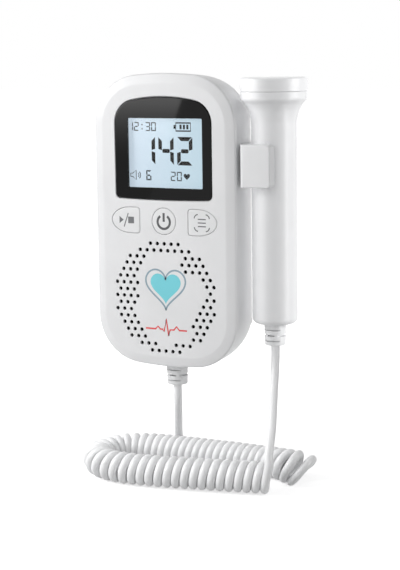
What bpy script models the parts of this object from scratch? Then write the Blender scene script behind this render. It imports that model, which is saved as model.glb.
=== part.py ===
"""Fetal doppler: a hand-held display unit and an ultrasound probe on a curly cord.

Metres, +Z up. The display faces -Y and the probe is clipped to the unit's +X side.
The origin lies on the flat back of the case, behind the speaker.
Heights called "h" are measured from the case's back towards its front, along -Y.
"""

import math

import bmesh
import bpy
import numpy as np
from mathutils import Matrix, Vector

# Clearances between pieces, and how far a cutter runs past what it cuts
FIT = 0.0003
KEY_GAP = 0.00025
OVERRUN = 0.001
WELD = 0.00001
SMOOTH_ANGLE = math.radians(35)

# The case as a whole, seen from the front
CASE_WIDTH = 0.0754
CASE_HEIGHT = 0.141
CASE_DEPTH = 0.033
CASE_MID_Z = 0.036
END_CROWN_R = 0.170
TOP_CORNER_R = 0.0245
LOW_CORNER_R = 0.0235
WALL = 0.0022
CORNER_STEPS = 6
SMALL_CORNER_STEPS = 3
CROWN_STEPS = 2

# Front shell: its softly rolled edge and the seam with the rear shell
FACE_ROLL = 0.0048
FACE_ROLL_DEPTH = 0.0019
BEZEL_DEPTH = 0.0027
INNER_ROLL = 0.0012
SEAM_STEP = 0.0004
ROLL_STEPS = 3

# Rear shell: how its side wall rolls into the flat back
BACK_ROLL = 0.011
SIDE_STRAIGHT = 0.0053
BACK_STEPS = 4

# Display: lens, window under it, panel and light guide
LENS_SIDE = 0.0120
LENS_DOWN = 0.0111
LENS_LOW = 0.0106
LENS_CROWN_R = 0.085
LENS_TOP_CORNER_R = 0.011
LENS_FOOT_R = 0.600
LENS_LOW_CORNER_R = 0.003
LENS_POCKET = 0.0013
WINDOW_SIDE = 0.0051
WINDOW_DOWN = 0.0094
WINDOW_UP = 0.0050
WINDOW_CORNER_R = 0.001
PANEL_MARGIN = 0.0014
PANEL_THICK = 0.0016
LIGHT_THICK = 0.0024

# Main board, what it carries, and its screws
BOARD_SIDE = 0.0067
BOARD_DOWN = 0.0170
BOARD_LOW = -0.0080
BOARD_THICK = 0.0016
POST_R = 0.0022
POST_INSET = 0.0035
POST_LOW_Z = 0.0135
BOARD_SCREW_R = 0.0008
BOARD_HEAD_R = 0.0018
BOARD_HEAD_T = 0.0012
BOARD_SCREW_LEN = 0.0045
CHIP_THICK = 0.0015
CHIP_INSET = 0.0082
PROCESSOR_SIDE = 0.012
PROCESSOR_Z = 0.0280
AMPLIFIER_WIDTH = 0.0055
AMPLIFIER_HEIGHT = 0.0095
AMPLIFIER_Z = 0.0040

# Keys and the switches behind them
KEY_Z = 0.0004
KEY_HALF = 0.0065
POWER_R = 0.0063
SIDE_KEY_INNER = 0.0128
SIDE_KEY_FLAT = 0.0052
SIDE_KEY_INSET = 0.0094
SIDE_KEY_CORNER_R = 0.0015
SIDE_KEY_STEPS = 12
POWER_KEY_STEPS = 20
KEY_EDGE = 0.0003
KEY_FLANGE = 0.0008
KEY_FLANGE_T = 0.0010
SWITCH_SIDE = 0.0060
SWITCH_BODY_T = 0.0016
PLUNGER_R = 0.0014
PLUNGER_T = 0.0006

# Sound holes: rows of a hexagonal grid. A run of holes is its first and last place in half pitches
HOLE_R = 0.00082
HOLE_SIDES = 6
HOLE_PITCH = 0.00375
HOLE_ROW_STEP = 0.003266
HOLE_TOP_Z = -0.0099
HOLE_RUN_SHARES = [
    [(-4, 4)],
    [(-7, 7)],
    [(-10, -6), (6, 10)],
    [(-11, -7), (5, 11)],
    [(-12, -8), (6, 12)],
    [(-13, -9), (11, 13)],
    [(-14, -8), (12, 14)],
    [(-13, -9), (13, 13)],
    [(-14, -8), (12, 14)],
    [(-13, -9), (11, 13)],
    [(-14, -10), (10, 14)],
    [(-13, -9), (9, 13)],
    [(-12, -8), (8, 12)],
    [(-11, -7), (9, 11)],
    [(-10, -6), (8, 10)],
    [(-7, -3), (3, 7)],
    [(-4, 4)],
]

# Speaker behind the holes
FELT_MARGIN = 0.00113
FELT_T = 0.0004
SPEAKER_SIDES = 24
SPEAKER_R = 0.0225
SPEAKER_RIM = 0.0016
SPEAKER_RIM_T = 0.0010
BASKET_DEPTH = 0.0095
BASKET_FOOT_R = 0.0130
BASKET_SHEET = 0.0008
BASKET_HOLE_R = 0.0050
CONE_SHEET = 0.0005
CAP_R = 0.0050
CAP_RISE = 0.0010
CAP_SHOULDER_SHARE = 0.75
MAGNET_R = 0.0125
MAGNET_T = 0.0055
MAGNET_EDGE = 0.0006
DISC_SIDES = 20

# Battery bay, cells, contacts and door
CELL_R = 0.00725
CELL_LEN = 0.0505
CELL_NUB_R = 0.00275
CELL_NUB_T = 0.0010
CELL_EDGE = 0.0006
CELL_APART = 0.0007
CELL_SIDES = 18
BAY_LOW = -0.0075
TRAY_WALL = 0.0012
CONTACT_T = 0.0005
CONTACT_SIDE = 0.0100
SPRING_LEN = 0.0042
SPRING_R = 0.0030
SPRING_WIRE_R = 0.0003
SPRING_TURNS = 3
SPRING_POINTS = 8
SPRING_TIP_SHARE = 2 / 3
DOOR_THICK = 0.0012
DOOR_LEDGE = 0.0020
DOOR_CORNER_R = 0.0020
TONGUE_WIDTH = 0.0120
TONGUE_LEN = 0.0090
TONGUE_SLOT = 0.0010
NOTCH_R = 0.0050
NOTCH_DEPTH = 0.0009
NOTCH_SIDES = 16

# Case screws, their bosses in the front shell and columns in the rear shell
SCREW_TOP_INSET = 0.0187
SCREW_TOP_DOWN = 0.0130
SCREW_LOW_INSET = 0.0097
SCREW_LOW_UP = 0.0200
BOSS_R = 0.0030
BOSS_END = 0.0160
BOSS_BORE_END = 0.0255
SCREW_R = 0.0013
SCREW_HEAD_R = 0.0023
SCREW_HEAD_T = 0.0016
SCREW_LEN = 0.0098
SCREW_SEAT_T = 0.0022
COLUMN_R = 0.0034
SCREW_SIDES = 10
ROUND_SIDES = 12
BORE_SIDES = 8

# Probe: a straight handle with a wide head, on an axis parallel to the case. Its head tucks in over
# the case's round corner
PROBE_GAP = 0.0017
HEAD_TUCK = 0.00325
PROBE_H = 0.0160
HANDLE_R = 0.0109
HEAD_R = 0.01585
PROBE_TOP = 0.0679
CAP_HEIGHT = 0.0063
HEAD_SIDE_END = 0.0582
NECK_Z = 0.0468
PROBE_LOW = -0.0480
HANDLE_CORNER_R = 0.0030
PROBE_WALL = 0.0018
CAP_WALL = 0.0014
CAP_FACE_T = 0.0016
CAP_EDGE = 0.0006
PROBE_SIDES = 26
FLARE_SHARES = [(0.586, 0.22), (0.28, 0.45), (0.12, 0.67), (0.03, 0.86)]
CRYSTAL_R = 0.0090
CRYSTAL_T = 0.0012
CRYSTAL_APART = 0.0010
CRYSTAL_STEPS = 10
BACKING_T = 0.0026
PROBE_BOARD_T = 0.0012
PROBE_BOARD_TOP = 0.0410
PROBE_BOARD_LOW = -0.0050

# Clip on the case's side that holds the probe
CLIP_Z = 0.0275
CLIP_HEIGHT = 0.0200
CLIP_PAD_T = 0.0050
CLIP_REACH = 0.0050
CLIP_BACK_T = 0.0018
CLIP_SLIDE_GAP = 0.0003
CLIP_BASE_LOW = 0.0100
CLIP_BASE_HIGH = 0.0250
CLIP_EDGE = 0.0008
CLIP_EDGE_SHARE = 0.3
CLIP_CORNER_R = 0.0020
CLIP_BEND_R = 0.0026
CLIP_STEPS = 12
CLIP_SCREW_H = 0.0220
CLIP_SCREW_APART = 0.0110
CLIP_SCREW_R = 0.0011
CLIP_HEAD_R = 0.0021
CLIP_HEAD_T = 0.0014
CLIP_SCREW_GRIP = 0.0020

# Strain reliefs, one on the case's lower end and one on the probe's
RELIEF_SETBACK = 0.0115
RELIEF_NECK_R = 0.0034
RELIEF_FLANGE_R = 0.0046
RELIEF_FLANGE_T = 0.0013
RELIEF_TOP_R = 0.0053
RELIEF_END_R = 0.0050
RELIEF_LEN = 0.0100
PROBE_RELIEF_LEN = 0.0102
GROOVE_DEPTH = 0.0013
GROOVE_WIDTH = 0.0008
GROOVES = 3
RELIEF_SIDES = 12

# Curly cord: tube, curls and the middle line that the curls follow on the floor plan
CORD_R = 0.0021
CURL_R = 0.0055
CURL_PITCH = 0.0047
BEND_SPREAD = 1.15
CURL_LEAN = 0.0005
LOOSE_REACH = 0.0120
LOOSE_PITCH = 0.0024
LOOSE_SWELL = 0.0009
LOOSE_LEAN = 0.0023
LOOSE_FACING = (-0.98, -0.20)
LAST_RISE = (0.20, 0.03, 0.979)
CURL_POINTS = 8
FLOOR_Z = -0.1243
CORD_STEP = 0.0074
ROUTE_STEP = 0.00025
CURVE_BLUR = 17

# Routes chosen by hand, in the case's frame
UNIT_TAIL_ROUTE = [
    (-0.0008, -0.0198, -0.0925),
    (-0.0032, -0.0152, -0.1000),
    (-0.0064, -0.0093, -0.1080),
    (-0.0078, -0.0056, -0.1150),
    (-0.0058, -0.0056, -0.1202),
    (0.0030, -0.0053, -0.1221),
    (0.0150, -0.0053, -0.1222),
    (0.0280, -0.0053, -0.1222),
]
CURL_ENTRY_ROUTE = [
    (0.0400, -0.0053, -0.1222),
    (0.0436, -0.0053, -0.1222),
    (0.0510, -0.0053, -0.1222),
    (0.0580, -0.0056, -0.1213),
    (0.0632, -0.0078, -0.1186),
    (0.0668, -0.0116, -0.1155),
    (0.0692, -0.0158, -0.1132),
    (0.0703, -0.0200, -0.1123),
    (0.0696, -0.0236, -0.1136),
    (0.0677, -0.0261, -0.1162),
    (0.0652, -0.0271, -0.1195),
]
CURL_MIDDLE_ROUTE = [
    (0.0648, -0.0250),
    (0.0588, -0.0210),
    (0.0524, -0.0178),
    (0.0440, -0.0161),
    (0.0380, -0.0157),
    (0.0300, -0.0155),
    (0.0140, -0.0155),
    (-0.0020, -0.0158),
    (-0.0140, -0.0166),
    (-0.0240, -0.0194),
    (-0.0316, -0.0253),
    (-0.0348, -0.0352),
    (-0.0322, -0.0450),
    (-0.0250, -0.0516),
    (-0.0150, -0.0542),
    (0.0000, -0.0534),
    (0.0160, -0.0508),
    (0.0300, -0.0480),
    (0.0440, -0.0448),
    (0.0575, -0.0416),
]
PROBE_TAIL_ROUTE = [
    (0.0598, -0.0462, -0.1068),
    (0.0591, -0.0432, -0.1020),
    (0.0575, -0.0370, -0.0950),
    (0.0550, -0.0298, -0.0865),
    (0.0525, -0.0230, -0.0785),
    (0.0508, -0.0178, -0.0700),
]

for old in list(bpy.data.objects):
    bpy.data.objects.remove(old)

doppler = bpy.data.collections.new("fetal_doppler")
helpers = bpy.data.collections.new("cutters")
bpy.context.scene.collection.children.link(doppler)
bpy.context.scene.collection.children.link(helpers)


def frame_at(name, place, parent=None):
    """An empty that carries the pieces of one frame or one moving group."""
    empty = bpy.data.objects.new(name, None)
    empty.location = place
    empty.parent = parent
    doppler.objects.link(empty)
    return empty


def finish(name, colour, roughness, metallic=0.0, alpha=1.0):
    material = bpy.data.materials.new(name)
    material.use_nodes = True
    shader = material.node_tree.nodes["Principled BSDF"]
    shader.inputs["Base Color"].default_value = (*colour, 1.0)
    shader.inputs["Roughness"].default_value = roughness
    shader.inputs["Metallic"].default_value = metallic
    shader.inputs["Alpha"].default_value = alpha
    return material


def white_plastic(name):
    return finish(name + "_plastic", (0.86, 0.87, 0.88), 0.35)


def place(name, data, parent, origin, material):
    """Puts a mesh or a curve in the scene: a piece if it has a material, or else a cutter."""
    piece = bpy.data.objects.new(name, data)
    piece.location = origin
    piece.parent = parent
    if material is None:
        helpers.objects.link(piece)
        piece.hide_render = True
        piece.display_type = "WIRE"
    else:
        doppler.objects.link(piece)
        data.materials.append(material)
    return piece


def mesh_from(bm, name):
    bmesh.ops.recalc_face_normals(bm, faces=bm.faces)
    data = bpy.data.meshes.new(name)
    bm.to_mesh(data)
    bm.free()
    data.shade_smooth()
    data.set_sharp_from_angle(angle=SMOOTH_ANGLE)
    return data


def loft(name, rings, parent, material=None, origin=(0, 0, 0)):
    """A closed solid through rings of equally many points. The first and last ring are capped."""
    bm = bmesh.new()
    shift = Vector(origin)
    loops = [[bm.verts.new(Vector(point) - shift) for point in ring] for ring in rings]
    for one, two in zip(loops, loops[1:]):
        for i in range(len(one)):
            k = (i + 1) % len(one)
            bm.faces.new((one[i], one[k], two[k], two[i]))
    bm.faces.new(loops[0][::-1])
    bm.faces.new(loops[-1])
    return place(name, mesh_from(bm, name), parent, origin, material)


def at_height(points, h):
    """An outline seen from the front, placed at height h above the case's back."""
    return [(x, -h, z) for x, z in points]


def slab(name, points, low, high, parent, material=None):
    """A flat outline seen from the front, as thick as from height low to height high."""
    curve = bpy.data.curves.new(name, "CURVE")
    curve.dimensions = "2D"
    curve.fill_mode = "BOTH"
    curve.extrude = (high - low) / 2
    spline = curve.splines.new("POLY")
    spline.points.add(len(points) - 1)
    for spot, (x, z) in zip(spline.points, points):
        spot.co = (x, z, 0, 1)
    spline.use_cyclic_u = True
    piece = place(name, curve, parent, (0, -(low + high) / 2, 0), material)
    piece.rotation_euler = (math.pi / 2, 0, 0)
    return piece


def as_mesh(piece):
    """The same piece as a mesh, so that it can be cut or can cut."""
    bpy.context.view_layer.update()
    graph = bpy.context.evaluated_depsgraph_get()
    data = bpy.data.meshes.new_from_object(piece.evaluated_get(graph))
    bm = bmesh.new()
    bm.from_mesh(data)
    bmesh.ops.remove_doubles(bm, verts=bm.verts, dist=WELD)
    bmesh.ops.recalc_face_normals(bm, faces=bm.faces)
    bm.to_mesh(data)
    bm.free()
    name, parent, home = piece.name, piece.parent, piece.users_collection[0]
    turn, spot, hidden = piece.rotation_euler.copy(), piece.location.copy(), piece.hide_render
    bpy.data.objects.remove(piece)
    solid = bpy.data.objects.new(name, data)
    home.objects.link(solid)
    solid.parent = parent
    solid.location = spot
    solid.rotation_euler = turn
    solid.hide_render = hidden
    solid.display_type = "WIRE" if hidden else "TEXTURED"
    return solid


def block(name, size, centre, parent, material=None):
    bm = bmesh.new()
    bmesh.ops.create_cube(bm, size=1.0)
    bmesh.ops.scale(bm, vec=size, verts=bm.verts)
    return place(name, mesh_from(bm, name), parent, centre, material)


def rods(name, spots, radius, low, high, parent, sides=ROUND_SIDES):
    """Parallel round bars from front to back, as one tool that joins or cuts."""
    bm = bmesh.new()
    turn = Matrix.Rotation(math.pi / 2, 4, "X")
    for x, z in spots:
        middle = Matrix.Translation((x, -(low + high) / 2, z))
        bmesh.ops.create_cone(
            bm, cap_ends=True, segments=sides, radius1=radius, radius2=radius,
            depth=high - low, matrix=middle @ turn,
        )
    return place(name, mesh_from(bm, name), parent, (0, 0, 0), None)


def turned(name, profile, origin, parent, sides, material=None, turn=(0, 0, 0), closed=False):
    """A turned piece. Its profile is (radius, height) pairs that run down its outer side."""
    data = bpy.data.meshes.new(name)
    count = len(profile)
    links = [(i, i + 1) for i in range(count - 1)]
    if closed:
        links.append((count - 1, 0))
    data.from_pydata([(r, 0, h) for r, h in profile], links, [])
    piece = place(name, data, parent, origin, material)
    piece.rotation_euler = turn
    screw = piece.modifiers.new("turn", "SCREW")
    screw.steps = sides
    screw.render_steps = sides
    screw.use_merge_vertices = True
    screw.merge_threshold = WELD
    screw.use_smooth_shade = True
    return piece


def combine(piece, tool, operation):
    step = piece.modifiers.new(tool.name, "BOOLEAN")
    step.operation = operation
    step.solver = "EXACT"
    step.object = tool


def join(piece, tool):
    combine(piece, tool, "UNION")


def cut(piece, tool):
    combine(piece, tool, "DIFFERENCE")


def tube(name, points, radius, resolution, parent, material):
    """A wire or cord: a polyline with a round section and closed ends."""
    curve = bpy.data.curves.new(name, "CURVE")
    curve.dimensions = "3D"
    curve.bevel_depth = radius
    curve.bevel_resolution = resolution
    curve.use_fill_caps = True
    spline = curve.splines.new("POLY")
    spline.points.add(len(points) - 1)
    for spot, point in zip(spline.points, points):
        spot.co = (*point, 1)
    return place(name, curve, parent, (0, 0, 0), material)


def arc(x, z, radius, start, end, steps):
    """Points on an arc, by angle clockwise from straight up."""
    turns = [math.radians(start + (end - start) * i / steps) for i in range(steps + 1)]
    return [(x + radius * math.sin(a), z + radius * math.cos(a)) for a in turns]


case_half = CASE_WIDTH / 2
case_end = CASE_HEIGHT / 2


def crowned(half, top, low, top_r, top_corner, low_r, low_corner, inset=0.0):
    """A shape with straight sides, gently crowned ends and four round corners."""
    half, top, low = half - inset, top - inset, low + inset
    right = [(0.0, top)]
    for end, way, crown, corner in ((top, 1, top_r, top_corner), (low, -1, low_r, low_corner)):
        crown, corner = crown - inset, corner - inset
        reach = half - corner
        middle = math.sqrt((crown - corner) ** 2 - reach**2)
        lean = math.degrees(math.asin(reach / (crown - corner)))
        ease = arc(0, 0, crown, 0, lean, CROWN_STEPS)[1:-1]
        ease = [(x, end + way * (z - crown)) for x, z in ease]
        bend = arc(reach, middle, corner, lean, 90, CORNER_STEPS)
        bend = [(x, end + way * (z - crown)) for x, z in bend]
        right += (ease + bend)[::way]
    right.append((0.0, low))
    left = [(-x, z) for x, z in right[-2:0:-1]]
    return right + left


def rounded(x, z, width, height, corner):
    points = []
    for turn, (sx, sz) in enumerate(((1, 1), (1, -1), (-1, -1), (-1, 1))):
        cx, cz = x + sx * (width / 2 - corner), z + sz * (height / 2 - corner)
        points += arc(cx, cz, corner, 90 * turn, 90 * turn + 90, SMALL_CORNER_STEPS)
    return points


def case_outline(inset):
    return crowned(
        case_half, case_end, -case_end, END_CROWN_R, TOP_CORNER_R, END_CROWN_R, LOW_CORNER_R, inset,
    )


lens_half = case_half - LENS_SIDE
lens_top = case_end - LENS_DOWN
window_width = 2 * (lens_half - WINDOW_SIDE)
window_height = lens_top - WINDOW_DOWN - (LENS_LOW + WINDOW_UP)
window_z = LENS_LOW + WINDOW_UP + window_height / 2


def lens_outline(inset):
    return crowned(
        lens_half, lens_top, LENS_LOW, LENS_CROWN_R, LENS_TOP_CORNER_R,
        LENS_FOOT_R, LENS_LOW_CORNER_R, inset,
    )


side_key_outer = case_half - SIDE_KEY_INSET
side_key_bow = side_key_outer - SIDE_KEY_INNER - SIDE_KEY_FLAT


def side_key_outline(side, grow):
    """A key with a straight inner side and a bowed outer one. side is 1 on the right, -1 on the left."""
    corner = SIDE_KEY_CORNER_R + grow
    inner, half, bow = SIDE_KEY_INNER - grow, KEY_HALF + grow, side_key_bow + grow
    middle = side_key_outer - side_key_bow
    points = arc(inner + corner, half - corner, corner, -90, 0, SMALL_CORNER_STEPS)
    points += [(middle + bow * x, half * z) for x, z in arc(0, 0, 1, 0, 180, SIDE_KEY_STEPS)]
    points += arc(inner + corner, corner - half, corner, 180, 270, SMALL_CORNER_STEPS)
    return [(side * x, KEY_Z + z) for x, z in points]


def power_key_outline(grow):
    return [(x, KEY_Z + z) for x, z in arc(0, 0, POWER_R + grow, 0, 360, POWER_KEY_STEPS)[:-1]]


back_roll_depth = CASE_DEPTH - BEZEL_DEPTH - SIDE_STRAIGHT


def rear_levels():
    """The rear shell's outside as (height, inset) pairs, from its back up to its straight wall."""
    turns = [math.radians(90 * i / BACK_STEPS) for i in range(BACK_STEPS, -1, -1)]
    return [
        (back_roll_depth * (1 - math.sin(a)), SEAM_STEP + BACK_ROLL * (1 - math.cos(a))) for a in turns
    ]


def rear_inner_levels():
    squeeze = (back_roll_depth - WALL) / back_roll_depth
    return [(WALL + h * squeeze, inset + WALL) for h, inset in rear_levels()]


def inset_at(levels, h):
    heights, insets = zip(*levels)
    return float(np.interp(h, heights, insets))


case_frame = frame_at("case_frame", (0, 0, CASE_MID_Z))
facing_front = (math.pi / 2, 0, 0)

# Levels inside the case, as heights above its back
front_inner = CASE_DEPTH - WALL
panel_front = front_inner - FIT
light_front = panel_front - PANEL_THICK - FIT
board_front = light_front - LIGHT_THICK - FIT
board_back = board_front - BOARD_THICK
seam_front = CASE_DEPTH - BEZEL_DEPTH
seam_rear = seam_front - FIT
hole_middle_z = HOLE_TOP_Z - HOLE_ROW_STEP * (len(HOLE_RUN_SHARES) - 1) / 2

screw_places = (
    (case_half - SCREW_TOP_INSET, case_end - SCREW_TOP_DOWN),
    (case_half - SCREW_LOW_INSET, SCREW_LOW_UP - case_end),
)
case_screws = [(side * x, z) for x, z in screw_places for side in (-1, 1)]
board_half = case_half - BOARD_SIDE
board_top = case_end - BOARD_DOWN
post_x = board_half - POST_INSET
board_posts = [(side * post_x, z) for side in (-1, 1) for z in (board_top - POST_INSET, POST_LOW_Z)]


def make_front_shell():
    rings = []
    for i in range(ROLL_STEPS + 1):
        a = math.radians(90 * i / ROLL_STEPS)
        inset = FACE_ROLL * (1 - math.sin(a))
        drop = FACE_ROLL_DEPTH * (1 - math.cos(a))
        rings.append(at_height(case_outline(inset), CASE_DEPTH - drop))
    rings.append(at_height(case_outline(0), seam_front))
    rings.append(at_height(case_outline(WALL), seam_front))
    rings.append(at_height(case_outline(WALL + INNER_ROLL), front_inner))
    shell = loft("front_shell", rings, case_frame, white_plastic("front_shell"))

    inside = front_inner + WALL / 2
    join(shell, rods("bosses", case_screws, BOSS_R, BOSS_END, inside, case_frame))
    join(shell, rods("posts", board_posts, POST_R, board_front + FIT, inside, case_frame))
    deep, high = front_inner - OVERRUN, CASE_DEPTH + OVERRUN
    pocket = slab("lens_pocket", lens_outline(-FIT), CASE_DEPTH - LENS_POCKET, high, case_frame)
    cut(shell, as_mesh(pocket))
    window = rounded(0, window_z, window_width, window_height, WINDOW_CORNER_R)
    cut(shell, as_mesh(slab("window", window, deep, high, case_frame)))
    openings = {
        "power_opening": power_key_outline(KEY_GAP),
        "play_opening": side_key_outline(-1, KEY_GAP),
        "mode_opening": side_key_outline(1, KEY_GAP),
    }
    for name, points in openings.items():
        cut(shell, as_mesh(slab(name, points, deep, high, case_frame)))
    holes = []
    for row, runs in enumerate(HOLE_RUN_SHARES):
        for first, last in runs:
            for place_share in range(first, last + 1, 2):
                holes.append((place_share * HOLE_PITCH / 2, HOLE_TOP_Z - row * HOLE_ROW_STEP))
    cut(shell, rods("sound_holes", holes, HOLE_R, deep, high, case_frame, HOLE_SIDES))
    start = BOSS_END - OVERRUN
    cut(shell, rods("boss_bores", case_screws, SCREW_R + FIT, start, BOSS_BORE_END, case_frame, BORE_SIDES))
    bore, start = BOARD_SCREW_R + FIT, board_front - OVERRUN
    cut(shell, rods("post_bores", board_posts, bore, start, front_inner, case_frame, BORE_SIDES))


# Battery bay: the cells stand side by side between contacts at the bay's two ends
bay_ledge = DOOR_THICK + FIT
cell_h = bay_ledge + CELL_R
bay_floor = cell_h + CELL_R + FIT
cell_x = CELL_R + CELL_APART / 2
bay_half = cell_x + CELL_R + FIT
contact_stack = CONTACT_T + 2 * FIT
bay_top = BAY_LOW + 2 * contact_stack + CELL_LEN + FIT + SPRING_LEN
tray_front = bay_floor + TRAY_WALL
door_width = 2 * (bay_half + DOOR_LEDGE)
door_height = bay_top - BAY_LOW + 2 * DOOR_LEDGE
door_z = (bay_top + BAY_LOW) / 2
screw_seat = BOSS_END - FIT - SCREW_SEAT_T
relief_h = CASE_DEPTH - RELIEF_SETBACK


def clip_screw_rods(name, radius, low_x, high_x):
    bm = bmesh.new()
    turn = Matrix.Rotation(math.pi / 2, 4, "Y")
    for way in (-1, 1):
        z = CLIP_Z + way * CLIP_SCREW_APART / 2
        middle = Matrix.Translation(((low_x + high_x) / 2, -CLIP_SCREW_H, z))
        bmesh.ops.create_cone(
            bm, cap_ends=True, segments=BORE_SIDES, radius1=radius, radius2=radius,
            depth=high_x - low_x, matrix=middle @ turn,
        )
    return place(name, mesh_from(bm, name), case_frame, (0, 0, 0), None)


def make_rear_shell():
    levels = rear_levels() + [(seam_rear, SEAM_STEP), (seam_rear, SEAM_STEP + WALL)]
    levels += rear_inner_levels()[::-1]
    rings = [at_height(case_outline(inset), h) for h, inset in levels]
    shell = loft("rear_shell", rings, case_frame, white_plastic("rear_shell"))

    tray_depth = tray_front - WALL / 2
    tray_size = (2 * (bay_half + TRAY_WALL), tray_depth, bay_top - BAY_LOW + 2 * TRAY_WALL)
    tray_middle = (0, -(tray_front + WALL / 2) / 2, door_z)
    join(shell, block("tray", tray_size, tray_middle, case_frame))
    join(shell, rods("columns", case_screws, COLUMN_R, WALL / 2, BOSS_END - FIT, case_frame))
    bay_size = (2 * bay_half, bay_floor + OVERRUN, bay_top - BAY_LOW)
    cut(shell, block("bay", bay_size, (0, -(bay_floor - OVERRUN) / 2, door_z), case_frame))
    recess = rounded(0, door_z, door_width + 2 * FIT, door_height + 2 * FIT, DOOR_CORNER_R)
    cut(shell, as_mesh(slab("door_recess", recess, -OVERRUN, bay_ledge, case_frame)))
    head = SCREW_HEAD_R + FIT
    cut(shell, rods("head_wells", case_screws, head, -OVERRUN, screw_seat, case_frame))
    start, end = screw_seat - OVERRUN, BOSS_END + OVERRUN
    cut(shell, rods("screw_bores", case_screws, SCREW_R + FIT, start, end, case_frame, BORE_SIDES))
    notch = [(0, door_z + door_height / 2 + FIT)]
    cut(shell, rods("thumb_notch", notch, NOTCH_R, -OVERRUN, NOTCH_DEPTH, case_frame, NOTCH_SIDES))
    neck = bmesh.new()
    bmesh.ops.create_cone(
        neck, cap_ends=True, segments=RELIEF_SIDES, depth=4 * WALL + 2 * OVERRUN,
        radius1=RELIEF_NECK_R + FIT, radius2=RELIEF_NECK_R + FIT,
    )
    low_end = (0, -relief_h, WALL - case_end)
    cut(shell, place("relief_hole", mesh_from(neck, "relief_hole"), case_frame, low_end, None))
    wall_x = case_half - inset_at(rear_levels(), CLIP_SCREW_H)
    bore = CLIP_SCREW_R + FIT
    cut(shell, clip_screw_rods("clip_screw_holes", bore, wall_x - 2 * WALL, wall_x + OVERRUN))


def make_display():
    lens_back = CASE_DEPTH - LENS_POCKET + FIT
    glass = finish("lens_glass", (0.03, 0.03, 0.035), 0.08, alpha=0.6)
    slab("screen_lens", lens_outline(0), lens_back, CASE_DEPTH, case_frame, glass)
    width, height = window_width + 2 * PANEL_MARGIN, window_height + 2 * PANEL_MARGIN
    block(
        "lcd_panel", (width, PANEL_THICK, height), (0, -panel_front + PANEL_THICK / 2, window_z),
        case_frame, finish("lcd_blue", (0.60, 0.76, 0.88), 0.25),
    )
    block(
        "lcd_backlight", (width, LIGHT_THICK, height), (0, -light_front + LIGHT_THICK / 2, window_z),
        case_frame, finish("light_guide", (0.92, 0.94, 0.95), 0.3),
    )


def make_board():
    green = finish("board_green", (0.02, 0.20, 0.09), 0.45)
    middle_z = (board_top + BOARD_LOW) / 2
    board = block(
        "main_board", (2 * board_half, BOARD_THICK, board_top - BOARD_LOW),
        (0, -(board_front + board_back) / 2, middle_z), case_frame, green,
    )
    hole, start, end = BOARD_SCREW_R + FIT, board_back - OVERRUN, board_front + OVERRUN
    cut(board, rods("board_holes", board_posts, hole, start, end, case_frame, BORE_SIDES))
    chip_x = board_half - CHIP_INSET
    chip_h = board_back - FIT - CHIP_THICK / 2
    black = finish("chip_black", (0.02, 0.02, 0.02), 0.5)
    processor = (PROCESSOR_SIDE, CHIP_THICK, PROCESSOR_SIDE)
    block("processor_chip", processor, (chip_x, -chip_h, PROCESSOR_Z), case_frame, black)
    amplifier = (AMPLIFIER_WIDTH, CHIP_THICK, AMPLIFIER_HEIGHT)
    block("amplifier_chip", amplifier, (-chip_x, -chip_h, AMPLIFIER_Z), case_frame, black.copy())
    head_top = board_back - FIT
    for i, (x, z) in enumerate(board_posts):
        tip = head_top + BOARD_SCREW_LEN
        profile = [
            (0, tip), (BOARD_SCREW_R, tip), (BOARD_SCREW_R, head_top), (BOARD_HEAD_R, head_top),
            (BOARD_HEAD_R, head_top - BOARD_HEAD_T), (0, head_top - BOARD_HEAD_T),
        ]
        steel = finish(f"board_screw_steel_{i + 1}", (0.55, 0.55, 0.56), 0.3, 1.0)
        turned(f"board_screw_{i + 1}", profile, (x, 0, z), case_frame, BORE_SIDES, steel, facing_front)


def make_key(name, outline_of, middle_x):
    flange_front = front_inner - FIT
    rings = [
        at_height(outline_of(-KEY_EDGE), CASE_DEPTH),
        at_height(outline_of(0), CASE_DEPTH - KEY_EDGE),
        at_height(outline_of(0), flange_front),
        at_height(outline_of(KEY_FLANGE), flange_front),
        at_height(outline_of(KEY_FLANGE), flange_front - KEY_FLANGE_T),
    ]
    origin = (middle_x, -CASE_DEPTH, KEY_Z)
    loft("button_" + name, rings, case_frame, white_plastic("button_" + name), origin)

    floor = board_front + FIT
    body = block(
        "switch_" + name, (SWITCH_SIDE, SWITCH_BODY_T, SWITCH_SIDE),
        (middle_x, -(floor + SWITCH_BODY_T / 2), KEY_Z), case_frame,
        finish("switch_black_" + name, (0.04, 0.04, 0.045), 0.45),
    )
    start, tip = floor + SWITCH_BODY_T / 2, floor + SWITCH_BODY_T + PLUNGER_T
    join(body, rods("plunger_" + name, [(middle_x, KEY_Z)], PLUNGER_R, start, tip, case_frame))


def make_keys():
    side_x = (SIDE_KEY_INNER + side_key_outer) / 2
    make_key("play", lambda grow: side_key_outline(-1, grow), -side_x)
    make_key("power", power_key_outline, 0.0)
    make_key("mode", lambda grow: side_key_outline(1, grow), side_x)


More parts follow.
